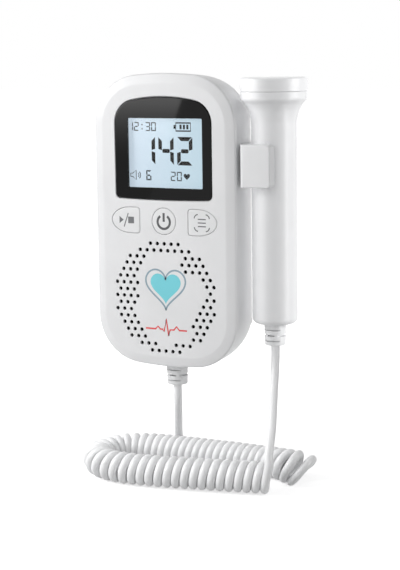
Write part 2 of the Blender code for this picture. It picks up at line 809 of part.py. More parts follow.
def make_speaker():
    centre = (0, 0, hole_middle_z)
    felt_front = front_inner - FIT
    felt_back = felt_front - FELT_T
    hole_reach = max(max(runs[-1]) for runs in HOLE_RUN_SHARES) * HOLE_PITCH / 2 + HOLE_R
    felt_r = min(hole_reach + FELT_MARGIN, case_half - WALL - INNER_ROLL - FIT)
    felt = [(0, felt_front), (felt_r, felt_front), (felt_r, felt_back), (0, felt_back)]
    black = finish("felt_black", (0.015, 0.015, 0.015), 0.95)
    turned("speaker_felt", felt, centre, case_frame, SPEAKER_SIDES, black, facing_front)

    rim = felt_back - FIT
    foot = rim - BASKET_DEPTH
    mouth = SPEAKER_R - SPEAKER_RIM
    shoulder = rim - SPEAKER_RIM_T
    outside = BASKET_FOOT_R + BASKET_SHEET
    basket = [
        (SPEAKER_R, rim), (SPEAKER_R, shoulder), (mouth + BASKET_SHEET, shoulder - BASKET_SHEET),
        (outside, foot + BASKET_SHEET), (outside, foot), (BASKET_HOLE_R, foot),
        (BASKET_HOLE_R, foot + BASKET_SHEET), (BASKET_FOOT_R, foot + BASKET_SHEET),
        (mouth, shoulder - BASKET_SHEET), (mouth, rim),
    ]
    steel = finish("basket_steel", (0.45, 0.46, 0.47), 0.4, 1.0)
    turned("speaker_frame", basket, centre, case_frame, SPEAKER_SIDES, steel, facing_front, closed=True)

    edge = mouth - FIT
    deep = foot + BASKET_SHEET + BASKET_HOLE_R
    cone = [
        (0, deep + CAP_RISE), (CAP_R / 2, deep + CAP_RISE * CAP_SHOULDER_SHARE), (CAP_R, deep),
        (edge, rim), (edge, rim - CONE_SHEET), (CAP_R, deep - CONE_SHEET), (0, deep - CONE_SHEET),
    ]
    paper = finish("cone_paper", (0.05, 0.05, 0.05), 0.85)
    turned("speaker_cone", cone, centre, case_frame, SPEAKER_SIDES, paper, facing_front)

    top, low = foot - FIT, foot - FIT - MAGNET_T
    magnet = [
        (0, top), (MAGNET_R - MAGNET_EDGE, top), (MAGNET_R, top - MAGNET_EDGE),
        (MAGNET_R, low + MAGNET_EDGE), (MAGNET_R - MAGNET_EDGE, low), (0, low),
    ]
    ferrite = finish("magnet_ferrite", (0.08, 0.08, 0.085), 0.55, 0.3)
    turned("speaker_magnet", magnet, centre, case_frame, DISC_SIDES, ferrite, facing_front)


def make_spring(name, x, base, way):
    """A conical contact spring. It stands on base and narrows along way, up (1) or down (-1)."""
    steps = SPRING_TURNS * SPRING_POINTS
    travel = SPRING_LEN - 2 * SPRING_WIRE_R
    points = []
    for i in range(steps + 1):
        share = i / steps
        a = 2 * math.pi * i / SPRING_POINTS
        radius = SPRING_R * (1 - share * (1 - SPRING_TIP_SHARE))
        z = base + way * (SPRING_WIRE_R + travel * share)
        points.append((x + radius * math.cos(a), -cell_h + radius * math.sin(a), z))
    nickel = finish(name + "_nickel", (0.7, 0.69, 0.66), 0.25, 1.0)
    tube(name, points, SPRING_WIRE_R, 0, case_frame, nickel)


def make_batteries():
    low_contact = BAY_LOW + FIT
    low_base = low_contact + CONTACT_T + FIT
    high_contact = bay_top - FIT - CONTACT_T
    high_base = high_contact - FIT
    plate = (CONTACT_SIDE, CONTACT_SIDE)
    for name, x in (("left", -cell_x), ("right", cell_x)):
        block(
            "battery_contact_" + name, (*plate, CONTACT_T),
            (x, -cell_h, low_contact + CONTACT_T / 2), case_frame,
            finish("contact_nickel_" + name, (0.7, 0.69, 0.66), 0.25, 1.0),
        )
    block(
        "battery_bridge", (CONTACT_SIDE + 2 * cell_x, CONTACT_SIDE, CONTACT_T),
        (0, -cell_h, high_contact + CONTACT_T / 2), case_frame,
        finish("bridge_nickel", (0.7, 0.69, 0.66), 0.25, 1.0),
    )
    make_spring("battery_spring_left", -cell_x, low_base, 1)
    make_spring("battery_spring_right", cell_x, high_base, -1)

    shoulder = CELL_LEN - CELL_NUB_T
    profile = [
        (0, CELL_LEN), (CELL_NUB_R, CELL_LEN), (CELL_NUB_R, shoulder), (CELL_R - CELL_EDGE, shoulder),
        (CELL_R, shoulder - CELL_EDGE), (CELL_R, CELL_EDGE), (CELL_R - CELL_EDGE, 0), (0, 0),
    ]
    for name, x, foot, turn in (
        ("left", -cell_x, high_base - CELL_LEN, (0, 0, 0)),
        ("right", cell_x, low_base + CELL_LEN, (math.pi, 0, 0)),
    ):
        label = finish("cell_label_" + name, (0.12, 0.13, 0.15), 0.35, 0.4)
        turned("battery_cell_" + name, profile, (x, -cell_h, foot), case_frame, CELL_SIDES, label, turn)


def make_battery_door():
    outline = rounded(0, door_z, door_width, door_height, DOOR_CORNER_R)
    door = slab("battery_door", outline, 0, DOOR_THICK, case_frame, white_plastic("battery_door"))
    door = as_mesh(door)
    top = door_z + door_height / 2
    for name, side in (("tongue_slot_left", -1), ("tongue_slot_right", 1)):
        x = side * (TONGUE_WIDTH + TONGUE_SLOT) / 2
        size = (TONGUE_SLOT, DOOR_THICK + 2 * OVERRUN, TONGUE_LEN + OVERRUN)
        middle = (x, -DOOR_THICK / 2, top - (TONGUE_LEN - OVERRUN) / 2)
        cut(door, block(name, size, middle, case_frame))


def make_case_screws():
    head_top = screw_seat - FIT
    tip = head_top + SCREW_LEN
    profile = [
        (0, tip), (SCREW_R / 2, tip), (SCREW_R, tip - SCREW_R), (SCREW_R, head_top),
        (SCREW_HEAD_R, head_top), (SCREW_HEAD_R, head_top - SCREW_HEAD_T), (0, head_top - SCREW_HEAD_T),
    ]
    for i, (x, z) in enumerate(case_screws):
        steel = finish(f"case_screw_steel_{i + 1}", (0.5, 0.5, 0.51), 0.3, 1.0)
        turned(f"case_screw_{i + 1}", profile, (x, 0, z), case_frame, SCREW_SIDES, steel, facing_front)


probe_x = case_half + max(HANDLE_R + PROBE_GAP, HEAD_R - HEAD_TUCK)
channel_r = HANDLE_R + CLIP_SLIDE_GAP
base_x = case_half + FIT


def make_clip():
    """A hook that is open towards +X. Its profile from above is kept to its rounded front view."""
    tip_x = probe_x + CLIP_REACH
    pad_low = PROBE_H + channel_r
    front = pad_low + CLIP_PAD_T
    outer_r = channel_r + CLIP_BACK_T
    wall = []
    for i in range(CLIP_STEPS // 2 + 1):
        h = CLIP_BASE_LOW + (CLIP_BASE_HIGH - CLIP_BASE_LOW) * i / (CLIP_STEPS // 2)
        wall.append((base_x - inset_at(rear_levels(), h), h))
    low_turn = math.degrees(math.acos((PROBE_H - CLIP_BASE_LOW) / outer_r))
    past = tip_x + OVERRUN
    outline = [(past, PROBE_H - outer_r)]
    outline += arc(probe_x, PROBE_H, outer_r, 180, 180 + low_turn, CLIP_STEPS // 2) + wall
    pad_left = probe_x - HANDLE_R
    bend = arc(pad_left + CLIP_BEND_R, front - CLIP_BEND_R, CLIP_BEND_R, -90, 0, CLIP_STEPS // 2)
    outline += [(pad_left, CLIP_BASE_HIGH + CLIP_EDGE)] + bend
    outline += [(bend[-1][0], front + OVERRUN), (past, front + OVERRUN), (past, pad_low)]
    outline += arc(probe_x, PROBE_H, channel_r, 360, 180, CLIP_STEPS)
    outline.append((past, PROBE_H - channel_r))
    rings = []
    for way in (-1, 1):
        z = CLIP_Z + way * (CLIP_HEIGHT / 2 + OVERRUN)
        rings.append([(x, -h, z) for x, h in outline])
    clip = loft("probe_clip", rings, case_frame, white_plastic("probe_clip"))

    def front_view(inset, h):
        left = base_x - BACK_ROLL
        width = tip_x - left - 2 * inset
        height = CLIP_HEIGHT - 2 * inset
        corner = CLIP_CORNER_R - inset
        return at_height(rounded((tip_x + left) / 2, CLIP_Z, width, height, corner), h)

    part_edge = CLIP_EDGE * CLIP_EDGE_SHARE
    rings = [
        front_view(0, -OVERRUN), front_view(0, front - CLIP_EDGE),
        front_view(part_edge, front - part_edge), front_view(CLIP_EDGE, front),
    ]
    combine(clip, loft("clip_front_view", rings, case_frame), "INTERSECT")
    wall_x = base_x - inset_at(rear_levels(), CLIP_SCREW_H)
    deep = wall_x + CLIP_SCREW_GRIP + FIT
    cut(clip, clip_screw_rods("clip_bores", CLIP_SCREW_R + FIT, wall_x - OVERRUN, deep))

    seat = case_half - inset_at(rear_inner_levels(), CLIP_SCREW_H - CLIP_HEAD_R) - FIT
    profile = [
        (0, seat - CLIP_HEAD_T), (CLIP_HEAD_R, seat - CLIP_HEAD_T), (CLIP_HEAD_R, seat),
        (CLIP_SCREW_R, seat), (CLIP_SCREW_R, wall_x + CLIP_SCREW_GRIP), (0, wall_x + CLIP_SCREW_GRIP),
    ]
    profile = [(r, -x) for r, x in profile]
    for name, way in (("upper", 1), ("lower", -1)):
        z = CLIP_Z + way * CLIP_SCREW_APART / 2
        steel = finish(f"clip_screw_steel_{name}", (0.5, 0.5, 0.51), 0.3, 1.0)
        turned(
            "clip_screw_" + name, profile, (0, -CLIP_SCREW_H, z), case_frame, BORE_SIDES, steel,
            (0, -math.pi / 2, 0),
        )


probe_frame = frame_at("probe_frame", (probe_x, -PROBE_H, 0), case_frame)
cap_low = PROBE_TOP - CAP_HEIGHT
cap_inner = PROBE_TOP - CAP_FACE_T


def make_probe_handle():
    head_top = cap_low - FIT
    flare = []
    for r_share, z_share in FLARE_SHARES:
        r = HANDLE_R + r_share * (HEAD_R - HANDLE_R)
        flare.append((r, HEAD_SIDE_END - z_share * (HEAD_SIDE_END - NECK_Z)))
    corner_x, corner_z = HANDLE_R - HANDLE_CORNER_R, PROBE_LOW + HANDLE_CORNER_R
    corner = arc(corner_x, corner_z, HANDLE_CORNER_R, 90, 180, SMALL_CORNER_STEPS + 1)
    outside = [(HEAD_R, head_top), (HEAD_R, HEAD_SIDE_END)] + flare + [(HANDLE_R, NECK_Z)] + corner
    bore = RELIEF_NECK_R + FIT
    inner = HANDLE_R - PROBE_WALL
    floor = PROBE_LOW + PROBE_WALL
    inside = [
        (bore, PROBE_LOW), (bore, floor), (inner - HANDLE_CORNER_R / 2, floor),
        (inner, floor + HANDLE_CORNER_R / 2), (inner, NECK_Z),
    ]
    inside += [(r - PROBE_WALL, z) for r, z in flare[::-1]]
    inside += [(HEAD_R - PROBE_WALL, HEAD_SIDE_END), (HEAD_R - PROBE_WALL, head_top)]
    length = head_top - PROBE_LOW
    for name, side in (("probe_handle_front", -1), ("probe_handle_back", 1)):
        plastic = white_plastic(name)
        half = turned(
            name, outside + inside, (0, 0, 0), probe_frame, PROBE_SIDES, plastic, closed=True,
        )
        size = (2 * HEAD_R + OVERRUN, HEAD_R + OVERRUN, length + 2 * OVERRUN)
        middle = (0, -side * ((HEAD_R + OVERRUN) / 2 - FIT / 2), (head_top + PROBE_LOW) / 2)
        cut(half, block(name + "_parting", size, middle, probe_frame))


def make_probe_head():
    inner = HEAD_R - CAP_WALL
    profile = [
        (0, PROBE_TOP), (HEAD_R - CAP_EDGE, PROBE_TOP), (HEAD_R, PROBE_TOP - CAP_EDGE),
        (HEAD_R, cap_low), (inner, cap_low), (inner, cap_inner), (0, cap_inner),
    ]
    turned("probe_cap", profile, (0, 0, 0), probe_frame, PROBE_SIDES, white_plastic("probe_cap"))

    crystal_top = cap_inner - FIT
    for name, side in (("crystal_left", -1), ("crystal_right", 1)):
        half = arc(0, 0, CRYSTAL_R, 0, 180 * side, CRYSTAL_STEPS)
        half = [(x + side * CRYSTAL_APART / 2, y) for x, y in half]
        rings = [[(x, y, z) for x, y in half] for z in (crystal_top, crystal_top - CRYSTAL_T)]
        loft(name, rings, probe_frame, finish(name + "_ceramic", (0.72, 0.66, 0.50), 0.4))
    top = crystal_top - CRYSTAL_T - FIT
    radius = inner - FIT
    profile = [(0, top), (radius, top), (radius, top - BACKING_T), (0, top - BACKING_T)]
    foam = finish("backing_foam", (0.09, 0.09, 0.10), 0.9)
    turned("crystal_backing", profile, (0, 0, 0), probe_frame, DISC_SIDES, foam)

    reach = math.sqrt((HANDLE_R - PROBE_WALL) ** 2 - (PROBE_BOARD_T / 2) ** 2)
    half = reach * math.cos(math.pi / PROBE_SIDES) - FIT
    size = (2 * half, PROBE_BOARD_T, PROBE_BOARD_TOP - PROBE_BOARD_LOW)
    middle = (0, 0, (PROBE_BOARD_TOP + PROBE_BOARD_LOW) / 2)
    block("probe_board", size, middle, probe_frame, finish("probe_board_green", (0.02, 0.20, 0.09), 0.45))


def relief_profile(inside, wall_in, wall_out, length):
    """A moulded strain relief: flange inside the wall, neck through it, grooved boot outside."""
    profile = [
        (0, inside), (RELIEF_FLANGE_R, inside), (RELIEF_FLANGE_R, wall_in), (RELIEF_NECK_R, wall_in),
        (RELIEF_NECK_R, wall_out), (RELIEF_TOP_R, wall_out),
    ]
    land = (length - GROOVES * GROOVE_WIDTH) / (GROOVES + 1)
    for i in range(GROOVES):
        start = land * (i + 1) + GROOVE_WIDTH * i
        for depth in (start, start + GROOVE_WIDTH):
            r = RELIEF_TOP_R + (RELIEF_END_R - RELIEF_TOP_R) * depth / length
            ring = [(r, wall_out - depth), (r - GROOVE_DEPTH, wall_out - depth)]
            profile += ring if depth == start else ring[::-1]
    return profile + [(RELIEF_END_R, wall_out - length), (0, wall_out - length)]


def make_strain_reliefs():
    near = relief_h - RELIEF_FLANGE_R
    wall_in = -case_end + inset_at(rear_inner_levels(), near) + FIT
    wall_out = -case_end - FIT
    profile = relief_profile(wall_in + RELIEF_FLANGE_T, wall_in, wall_out, RELIEF_LEN)
    boot = finish("unit_relief_vinyl", (0.86, 0.87, 0.88), 0.45)
    turned("unit_strain_relief", profile, (0, -relief_h, 0), case_frame, RELIEF_SIDES, boot)

    wall_in = PROBE_LOW + PROBE_WALL + FIT
    profile = relief_profile(wall_in + RELIEF_FLANGE_T, wall_in, PROBE_LOW - FIT, PROBE_RELIEF_LEN)
    boot = finish("probe_relief_vinyl", (0.86, 0.87, 0.88), 0.45)
    turned("probe_strain_relief", profile, (0, 0, 0), probe_frame, RELIEF_SIDES, boot)


def smooth_line(points, before=None, after=None, steps=24):
    """A smooth curve through points, as a dense polyline. It can lead on from a point before and after."""
    points = np.array(points, float)
    before = 2 * points[0] - points[1] if before is None else before
    after = 2 * points[-1] - points[-2] if after is None else after
    points = np.vstack([before, points, after])
    line = []
    for p0, p1, p2, p3 in zip(points, points[1:], points[2:], points[3:]):
        knots = [0.0]
        for one, two in ((p0, p1), (p1, p2), (p2, p3)):
            knots.append(knots[-1] + math.sqrt(np.linalg.norm(two - one)))
        t0, t1, t2, t3 = knots
        for t in np.linspace(t1, t2, steps, endpoint=False):
            a1 = ((t1 - t) * p0 + (t - t0) * p1) / (t1 - t0)
            a2 = ((t2 - t) * p1 + (t - t1) * p2) / (t2 - t1)
            a3 = ((t3 - t) * p2 + (t - t2) * p3) / (t3 - t2)
            b1 = ((t2 - t) * a1 + (t - t0) * a2) / (t2 - t0)
            b2 = ((t3 - t) * a2 + (t - t1) * a3) / (t3 - t1)
            line.append(((t2 - t) * b1 + (t - t1) * b2) / (t2 - t1))
    line.append(points[-2])
    return np.array(line)


def even_steps(line, step):
    """The same line with points at an even distance near step."""
    along = np.concatenate([[0], np.cumsum(np.linalg.norm(np.diff(line, axis=0), axis=1))])
    count = max(1, round(along[-1] / step))
    marks = np.linspace(0, along[-1], count + 1)
    return np.stack([np.interp(marks, along, line[:, i]) for i in range(line.shape[1])], axis=1)


def curls(points_per_turn):
    """The curly cord's turns round its middle line, from a curl's foot to its front side."""
    line = even_steps(smooth_line(CURL_MIDDLE_ROUTE), ROUTE_STEP)
    steps = np.gradient(line, axis=0)
    lengths = np.linalg.norm(steps, axis=1)
    along = np.concatenate([[0], np.cumsum(lengths[1:])])
    loose = np.exp(-((along / LOOSE_REACH) ** 2))
    facing = steps / lengths[:, None]
    facing += loose[:, None] * (np.array(LOOSE_FACING) - facing)
    heading = np.unwrap(np.arctan2(facing[:, 1], facing[:, 0]))
    bend = np.abs(np.gradient(heading) / lengths)
    padded = np.pad(bend, CURVE_BLUR, mode="edge")
    bend = np.convolve(padded, np.full(2 * CURVE_BLUR + 1, 1 / (2 * CURVE_BLUR + 1)), "valid")
    pitch = CURL_PITCH / (1 - BEND_SPREAD * CURL_R * bend) + LOOSE_PITCH * loose
    turns = np.concatenate([[0], np.cumsum(lengths[1:] / pitch[1:])])
    total = round(turns[-1] - 0.25) + 0.25
    turns *= total / turns[-1]
    wanted = np.linspace(0, total, round(total * points_per_turn) + 1)
    x, y, heading, loose = (np.interp(wanted, turns, v) for v in (*line.T, heading, loose))
    angle = -math.pi / 2 - 2 * math.pi * wanted
    radius = CURL_R + LOOSE_SWELL * loose
    across = radius * np.cos(angle)
    lean = (CURL_LEAN + LOOSE_LEAN * loose) * np.sin(angle) * np.cos(heading)
    x += lean * np.cos(heading) - across * np.sin(heading)
    y += lean * np.sin(heading) + across * np.cos(heading)
    return np.stack([x, y, FLOOR_Z + CORD_R + radius * (1 + np.sin(angle))], axis=1)


def least_gap(points, skip, radius):
    """The smallest clear space between stretches of one tube that are skip points apart or more."""
    apart = np.linalg.norm(points[:, None] - points[None], axis=2)
    order = np.arange(len(points))
    apart[np.abs(order[:, None] - order[None]) < skip] = np.inf
    return apart.min() - 2 * radius


def cord_run(start, start_way, route, end, end_way):
    """A loose length of cord whose ends run straight, so that they meet what they enter squarely."""
    start, end = np.array(start), np.array(end)
    first = start + np.array(start_way) * 2 * CORD_R
    last = end - np.array(end_way) * 2 * CORD_R
    line = even_steps(smooth_line([first, *route, last], start, end), CORD_STEP)
    return np.vstack([start, line, end])


def make_cord():
    vinyl = finish("cord_vinyl", (0.86, 0.87, 0.88), 0.4)
    up, down, right = (0, 0, 1), (0, 0, -1), (1, 0, 0)
    helix = curls(CURL_POINTS)
    curl_step = 2 * math.pi * CURL_R / CURL_POINTS
    entry = smooth_line(CURL_ENTRY_ROUTE[1:] + [helix[0]], CURL_ENTRY_ROUTE[0], helix[1])
    rise = np.array(LAST_RISE)
    coil_end = helix[-1] + rise * 2 * CORD_R
    coil = np.vstack([CURL_ENTRY_ROUTE[0], even_steps(entry, curl_step)[:-1], helix, coil_end])
    tube("cord_coil", coil, CORD_R, 1, case_frame, vinyl)
    gap = least_gap(coil, CURL_POINTS // 2 + 1, CORD_R)
    print(f"cord_coil: {len(helix) / CURL_POINTS:.2f} curls, least gap to itself {gap * 1000:.2f} mm")

    relief_end = (0, -relief_h, -case_end - FIT - RELIEF_LEN - FIT)
    coil_start = np.array(CURL_ENTRY_ROUTE[0]) - np.array(right) * FIT
    tail = cord_run(relief_end, down, UNIT_TAIL_ROUTE, coil_start, right)
    tube("cord_tail_unit", tail, CORD_R, 2, case_frame, vinyl.copy())

    relief_end = (probe_x, -PROBE_H, PROBE_LOW - FIT - PROBE_RELIEF_LEN - FIT)
    tail = cord_run(coil_end + rise * FIT, rise, PROBE_TAIL_ROUTE, relief_end, up)
    tube("cord_tail_probe", tail, CORD_R, 2, case_frame, vinyl.copy())


make_front_shell()
make_rear_shell()
make_display()
make_board()
make_keys()
make_speaker()
make_batteries()
make_battery_door()
make_case_screws()
make_clip()
make_probe_handle()
make_probe_head()
make_strain_reliefs()
make_cord()
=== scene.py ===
"""Fetal doppler: display unit, clip-on ultrasound probe and curly cord, with the finish of the real ones.

Metres, +Z up. The display faces -Y and the probe is clipped to the unit's +X side.
Heights called "h" run from the case's flat back towards its front, along -Y.
Places "seen from the front" are (x, z) pairs, with z from the middle of the case.
"""

import math

import bmesh
import bpy
import numpy as np
from mathutils import Matrix, Vector


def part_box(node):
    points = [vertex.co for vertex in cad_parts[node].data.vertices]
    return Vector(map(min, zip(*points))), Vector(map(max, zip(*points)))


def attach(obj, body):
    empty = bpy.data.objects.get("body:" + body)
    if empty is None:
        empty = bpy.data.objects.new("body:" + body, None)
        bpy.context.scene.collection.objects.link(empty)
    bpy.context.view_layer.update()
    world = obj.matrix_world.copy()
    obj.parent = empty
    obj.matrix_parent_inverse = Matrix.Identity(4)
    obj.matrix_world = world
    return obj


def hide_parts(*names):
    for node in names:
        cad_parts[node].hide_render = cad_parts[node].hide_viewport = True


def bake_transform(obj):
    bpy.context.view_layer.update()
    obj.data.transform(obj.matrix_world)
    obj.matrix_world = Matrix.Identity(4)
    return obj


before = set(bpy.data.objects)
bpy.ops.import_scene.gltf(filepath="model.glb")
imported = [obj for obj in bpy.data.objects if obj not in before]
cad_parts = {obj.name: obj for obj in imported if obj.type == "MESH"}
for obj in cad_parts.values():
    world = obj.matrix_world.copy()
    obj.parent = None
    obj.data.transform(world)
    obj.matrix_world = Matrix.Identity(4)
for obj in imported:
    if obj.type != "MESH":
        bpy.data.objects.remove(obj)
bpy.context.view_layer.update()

# Front half of the case: white ABS, injection moulded with a satin grain. A slightly sloped band
# runs round its face, which has a pocket for the lens, three key openings and a ring of sound holes.
# Screw bosses and board posts stand inside, and it closes on the rear half at a fine seam.
FIT = 0.0003
OVERRUN = 0.001
WALL = 0.0022
END_CROWN_R = 0.170
TOP_CORNER_R = 0.0245
LOW_CORNER_R = 0.0235
BAND_WIDTH = 0.0048
BAND_SLOPE = math.radians(13)
BAND_EASE = 0.0005
FACE_EDGE_R = 0.0011
FACE_MARGIN = 0.0010
SEAM_GAP = 0.00006
SEAM_EASE = 0.00025
INNER_ROLL = 0.0012
LENS_CROWN_R = 0.085
LENS_TOP_CORNER_R = 0.011
LENS_FOOT_R = 0.600
LENS_LOW_CORNER_R = 0.0023
LENS_POCKET = 0.0013
WINDOW_WIDTH = 0.0424
WINDOW_HEIGHT = 0.0344
WINDOW_Z = 0.0328
WINDOW_CORNER_R = 0.001
KEY_Z = 0.0004
KEY_HALF = 0.0062
KEY_GAP = 0.00016
KEY_RIM = 0.00024
POWER_R = 0.0063
SIDE_KEY_INNER = 0.0131
SIDE_KEY_OUTER = 0.0282
SIDE_KEY_BOW = 0.0103
SIDE_KEY_CORNER_R = 0.0015
HOLE_R = 0.00090
HOLE_RIM = 0.00010
HOLE_LIP = 0.00020
HOLE_BACK_R = 0.00170
HOLE_PITCH = 0.00375
HOLE_ROW_STEP = 0.003266
HOLE_TOP_Z = -0.0104
HOLE_RUNS = [
    [(-4, 4)], [(-7, 7)], [(-10, -6), (6, 10)], [(-11, -7), (5, 11)], [(-12, -8), (6, 12)],
    [(-13, -9), (11, 13)], [(-14, -8), (12, 14)], [(-13, -9), (13, 13)], [(-14, -8), (12, 14)],
    [(-13, -9), (11, 13)], [(-14, -10), (10, 14)], [(-13, -9), (9, 13)], [(-12, -8), (8, 12)],
    [(-11, -7), (9, 11)], [(-10, -6), (8, 10)], [(-7, -3), (3, 7)], [(-4, 4)],
]
BOSS_R = 0.0030
BOSS_END = 0.0160
BOSS_BORE_END = 0.0255
POST_R = 0.0022
SCREW_BORE_R = 0.0016
POST_BORE_R = 0.0011
HAZE_SCALE = 38
HAZE_SPAN = (0.3, 0.7)
GRAIN_SCALE = 2600
CASE_WHITE = (0.80, 0.803, 0.812)

case_low, case_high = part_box("front_shell")
case_half = case_high.x
case_end = (case_high.z - case_low.z) / 2
case_depth = -case_low.y
middle_z = (case_high.z + case_low.z) / 2
seam_rear = -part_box("rear_shell")[0].y
seam_front = seam_rear + SEAM_GAP
front_inner = case_depth - WALL
board_front = -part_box("main_board")[0].y


def arc(x, z, radius, start, end, steps):
    """Points on an arc, by angle clockwise from straight up."""
    turns = np.radians(np.linspace(start, end, steps + 1))
    return [(x + radius * math.sin(a), z + radius * math.cos(a)) for a in turns]


def crowned(half, ends, inset):
    """A shape with straight sides, crowned ends and round corners, drawn in by an inset.

    Each end, the top one first, is its place, its crown's radius and its corners' radius.
    """
    right = []
    for way, (end, crown, corner) in zip((1, -1), ends):
        end, crown, corner = end - way * inset, crown - inset, corner - inset
        reach = half - inset - corner
        middle = math.sqrt((crown - corner) ** 2 - reach**2)
        lean = math.degrees(math.asin(reach / (crown - corner)))
        curve = arc(0, 0, crown, 0, lean, 8)[:-1] + arc(reach, middle, corner, lean, 90, 16)
        right += [(x, end + way * (z - crown)) for x, z in curve][::way]
    return right + [(-x, z) for x, z in right[-2:0:-1]]


def rounded(x, z, width, height, corner, steps=6):
    """A rectangle with round corners."""
    points = []
    for turn, (sx, sz) in enumerate(((1, 1), (1, -1), (-1, -1), (-1, 1))):
        cx, cz = x + sx * (width / 2 - corner), z + sz * (height / 2 - corner)
        points += arc(cx, cz, corner, 90 * turn, 90 * turn + 90, steps)
    return points


def plate(x, z, width, height, corner):
    """The outline of a rectangle with round corners, as a function of the inset that draws it in."""
    return lambda inset: rounded(x, z, width - 2 * inset, height - 2 * inset, corner)


def case_outline(inset):
    ends = (case_end, END_CROWN_R, TOP_CORNER_R), (-case_end, END_CROWN_R, LOW_CORNER_R)
    return crowned(case_half, ends, inset)


def lens_outline(inset):
    low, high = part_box("screen_lens")
    top = (high.z - middle_z, LENS_CROWN_R, LENS_TOP_CORNER_R)
    return crowned(high.x, (top, (low.z - middle_z, LENS_FOOT_R, LENS_LOW_CORNER_R)), inset)


def side_key_outline(side, inset):
    """A key with a straight inner side and a bowed outer one. side is 1 on the right, -1 on the left."""
    corner = SIDE_KEY_CORNER_R - inset
    inner, half, bow = SIDE_KEY_INNER + inset, KEY_HALF - inset, SIDE_KEY_BOW - inset
    middle = SIDE_KEY_OUTER - SIDE_KEY_BOW
    points = arc(inner + corner, half - corner, corner, -90, 0, 8)
    points += [(middle + bow * x, half * z) for x, z in arc(0, 0, 1, 0, 180, 40)]
    points += arc(inner + corner, corner - half, corner, 180, 270, 8)
    return [(side * x, KEY_Z + z) for x, z in points]


key_outlines = {
    "play": lambda inset: side_key_outline(-1, inset),
    "power": lambda inset: [(x, KEY_Z + z) for x, z in arc(0, 0, POWER_R - inset, 0, 360, 64)[:-1]],
    "mode": lambda inset: side_key_outline(1, inset),
}


def at_height(points, h):
    """An outline seen from the front, in the frame, at height h above the case's back."""
    return [(x, -h, z + middle_z) for x, z in points]


def solid(name, bm):
    bmesh.ops.recalc_face_normals(bm, faces=bm.faces)
    data = bpy.data.meshes.new(name)
    bm.to_mesh(data)
    bm.free()
    piece = bpy.data.objects.new(name, data)
    bpy.context.scene.collection.objects.link(piece)
    return piece


def skin(bm, rings, closed=False):
    """Faces through rings of points, where a ring may be one point. The ends are capped or joined."""
    loops = [[bm.verts.new(point) for point in ring] for ring in rings]
    sides = max(len(loop) for loop in loops)
    for one, two in zip(loops, loops[1:] + loops[:1] if closed else loops[1:]):
        for i in range(sides):
            k = (i + 1) % sides
            corners = [one[i % len(one)], one[k % len(one)], two[k % len(two)], two[i % len(two)]]
            bm.faces.new(list(dict.fromkeys(corners)))
    for loop in () if closed else (loops[0][::-1], loops[-1]):
        if len(loop) > 1:
            bm.faces.new(loop)


def loft(name, rings, closed=False):
    bm = bmesh.new()
    skin(bm, rings, closed)
    return solid(name, bm)


def layered(name, outline_of, levels):
    """A solid whose outline is drawn in by an inset at each height."""
    return loft(name, [at_height(outline_of(inset), h) for inset, h in levels])


def rolled(width, depth, h, steps):
    """A rolled edge as (inset, height): a quarter ellipse from the face at height h to the side."""
    turns = np.radians(np.linspace(0, 90, steps + 1))
    return [(width * (1 - math.sin(a)), h - depth * (1 - math.cos(a))) for a in turns]


def rods(name, spots, profile, sides=24):
    """Parallel round bars from back to front, as one tool. The profile is (radius, height) pairs."""
    bm = bmesh.new()
    for x, z in spots:
        skin(bm, [at_height(arc(x, z, radius, 0, 360, sides)[:-1], h) for radius, h in profile])
    return solid(name, bm)


def combine(piece, operation, *tools):
    """Joins tools to the piece, or cuts it with them, and keeps the result as its mesh."""
    for tool in tools:
        step = piece.modifiers.new(tool.name, "BOOLEAN")
        step.operation = operation
        step.object = tool
    bpy.context.view_layer.update()
    graph = bpy.context.evaluated_depsgraph_get()
    piece.data = bpy.data.meshes.new_from_object(piece.evaluated_get(graph))
    piece.modifiers.clear()
    for tool in tools:
        bpy.data.objects.remove(tool)


def finish(name):
    """A new material, with its node tree and its shader."""
    material = bpy.data.materials.new(name)
    material.use_nodes = True
    return material, material.node_tree, material.node_tree.nodes["Principled BSDF"]


def feed(tree, target, inputs):
    """Sets inputs of a node, each to a value or to the output that feeds it."""
    for key, value in inputs.items():
        if isinstance(value, bpy.types.NodeSocket):
            tree.links.new(value, target.inputs[key])
        else:
            target.inputs[key].default_value = value


def add(tree, kind, inputs=None, out=0, **settings):
    """Adds a shader node and returns one of its outputs."""
    made = tree.nodes.new("ShaderNode" + kind)
    for key, value in settings.items():
        setattr(made, key, value)
    feed(tree, made, inputs or {})
    return made.outputs[out]


def ramp(tree, source, colours, ends=(0, 1)):
    """A colour that runs from one to another while the source runs from end to end."""
    made = tree.nodes.new("ShaderNodeValToRGB")
    feed(tree, made, {"Fac": source})
    for stop, colour, end in zip(made.color_ramp.elements, colours, ends):
        stop.color = (*colour, 1)
        stop.position = end
    return made.outputs["Color"]


def span(tree, source, start=(0, 1), end=(0, 1), **settings):
    """A value that runs from one number to another while the source runs over its start range."""
    inputs = {"Value": source, "From Min": start[0], "From Max": start[1], "To Min": end[0], "To Max": end[1]}
    return add(tree, "MapRange", inputs, **settings)


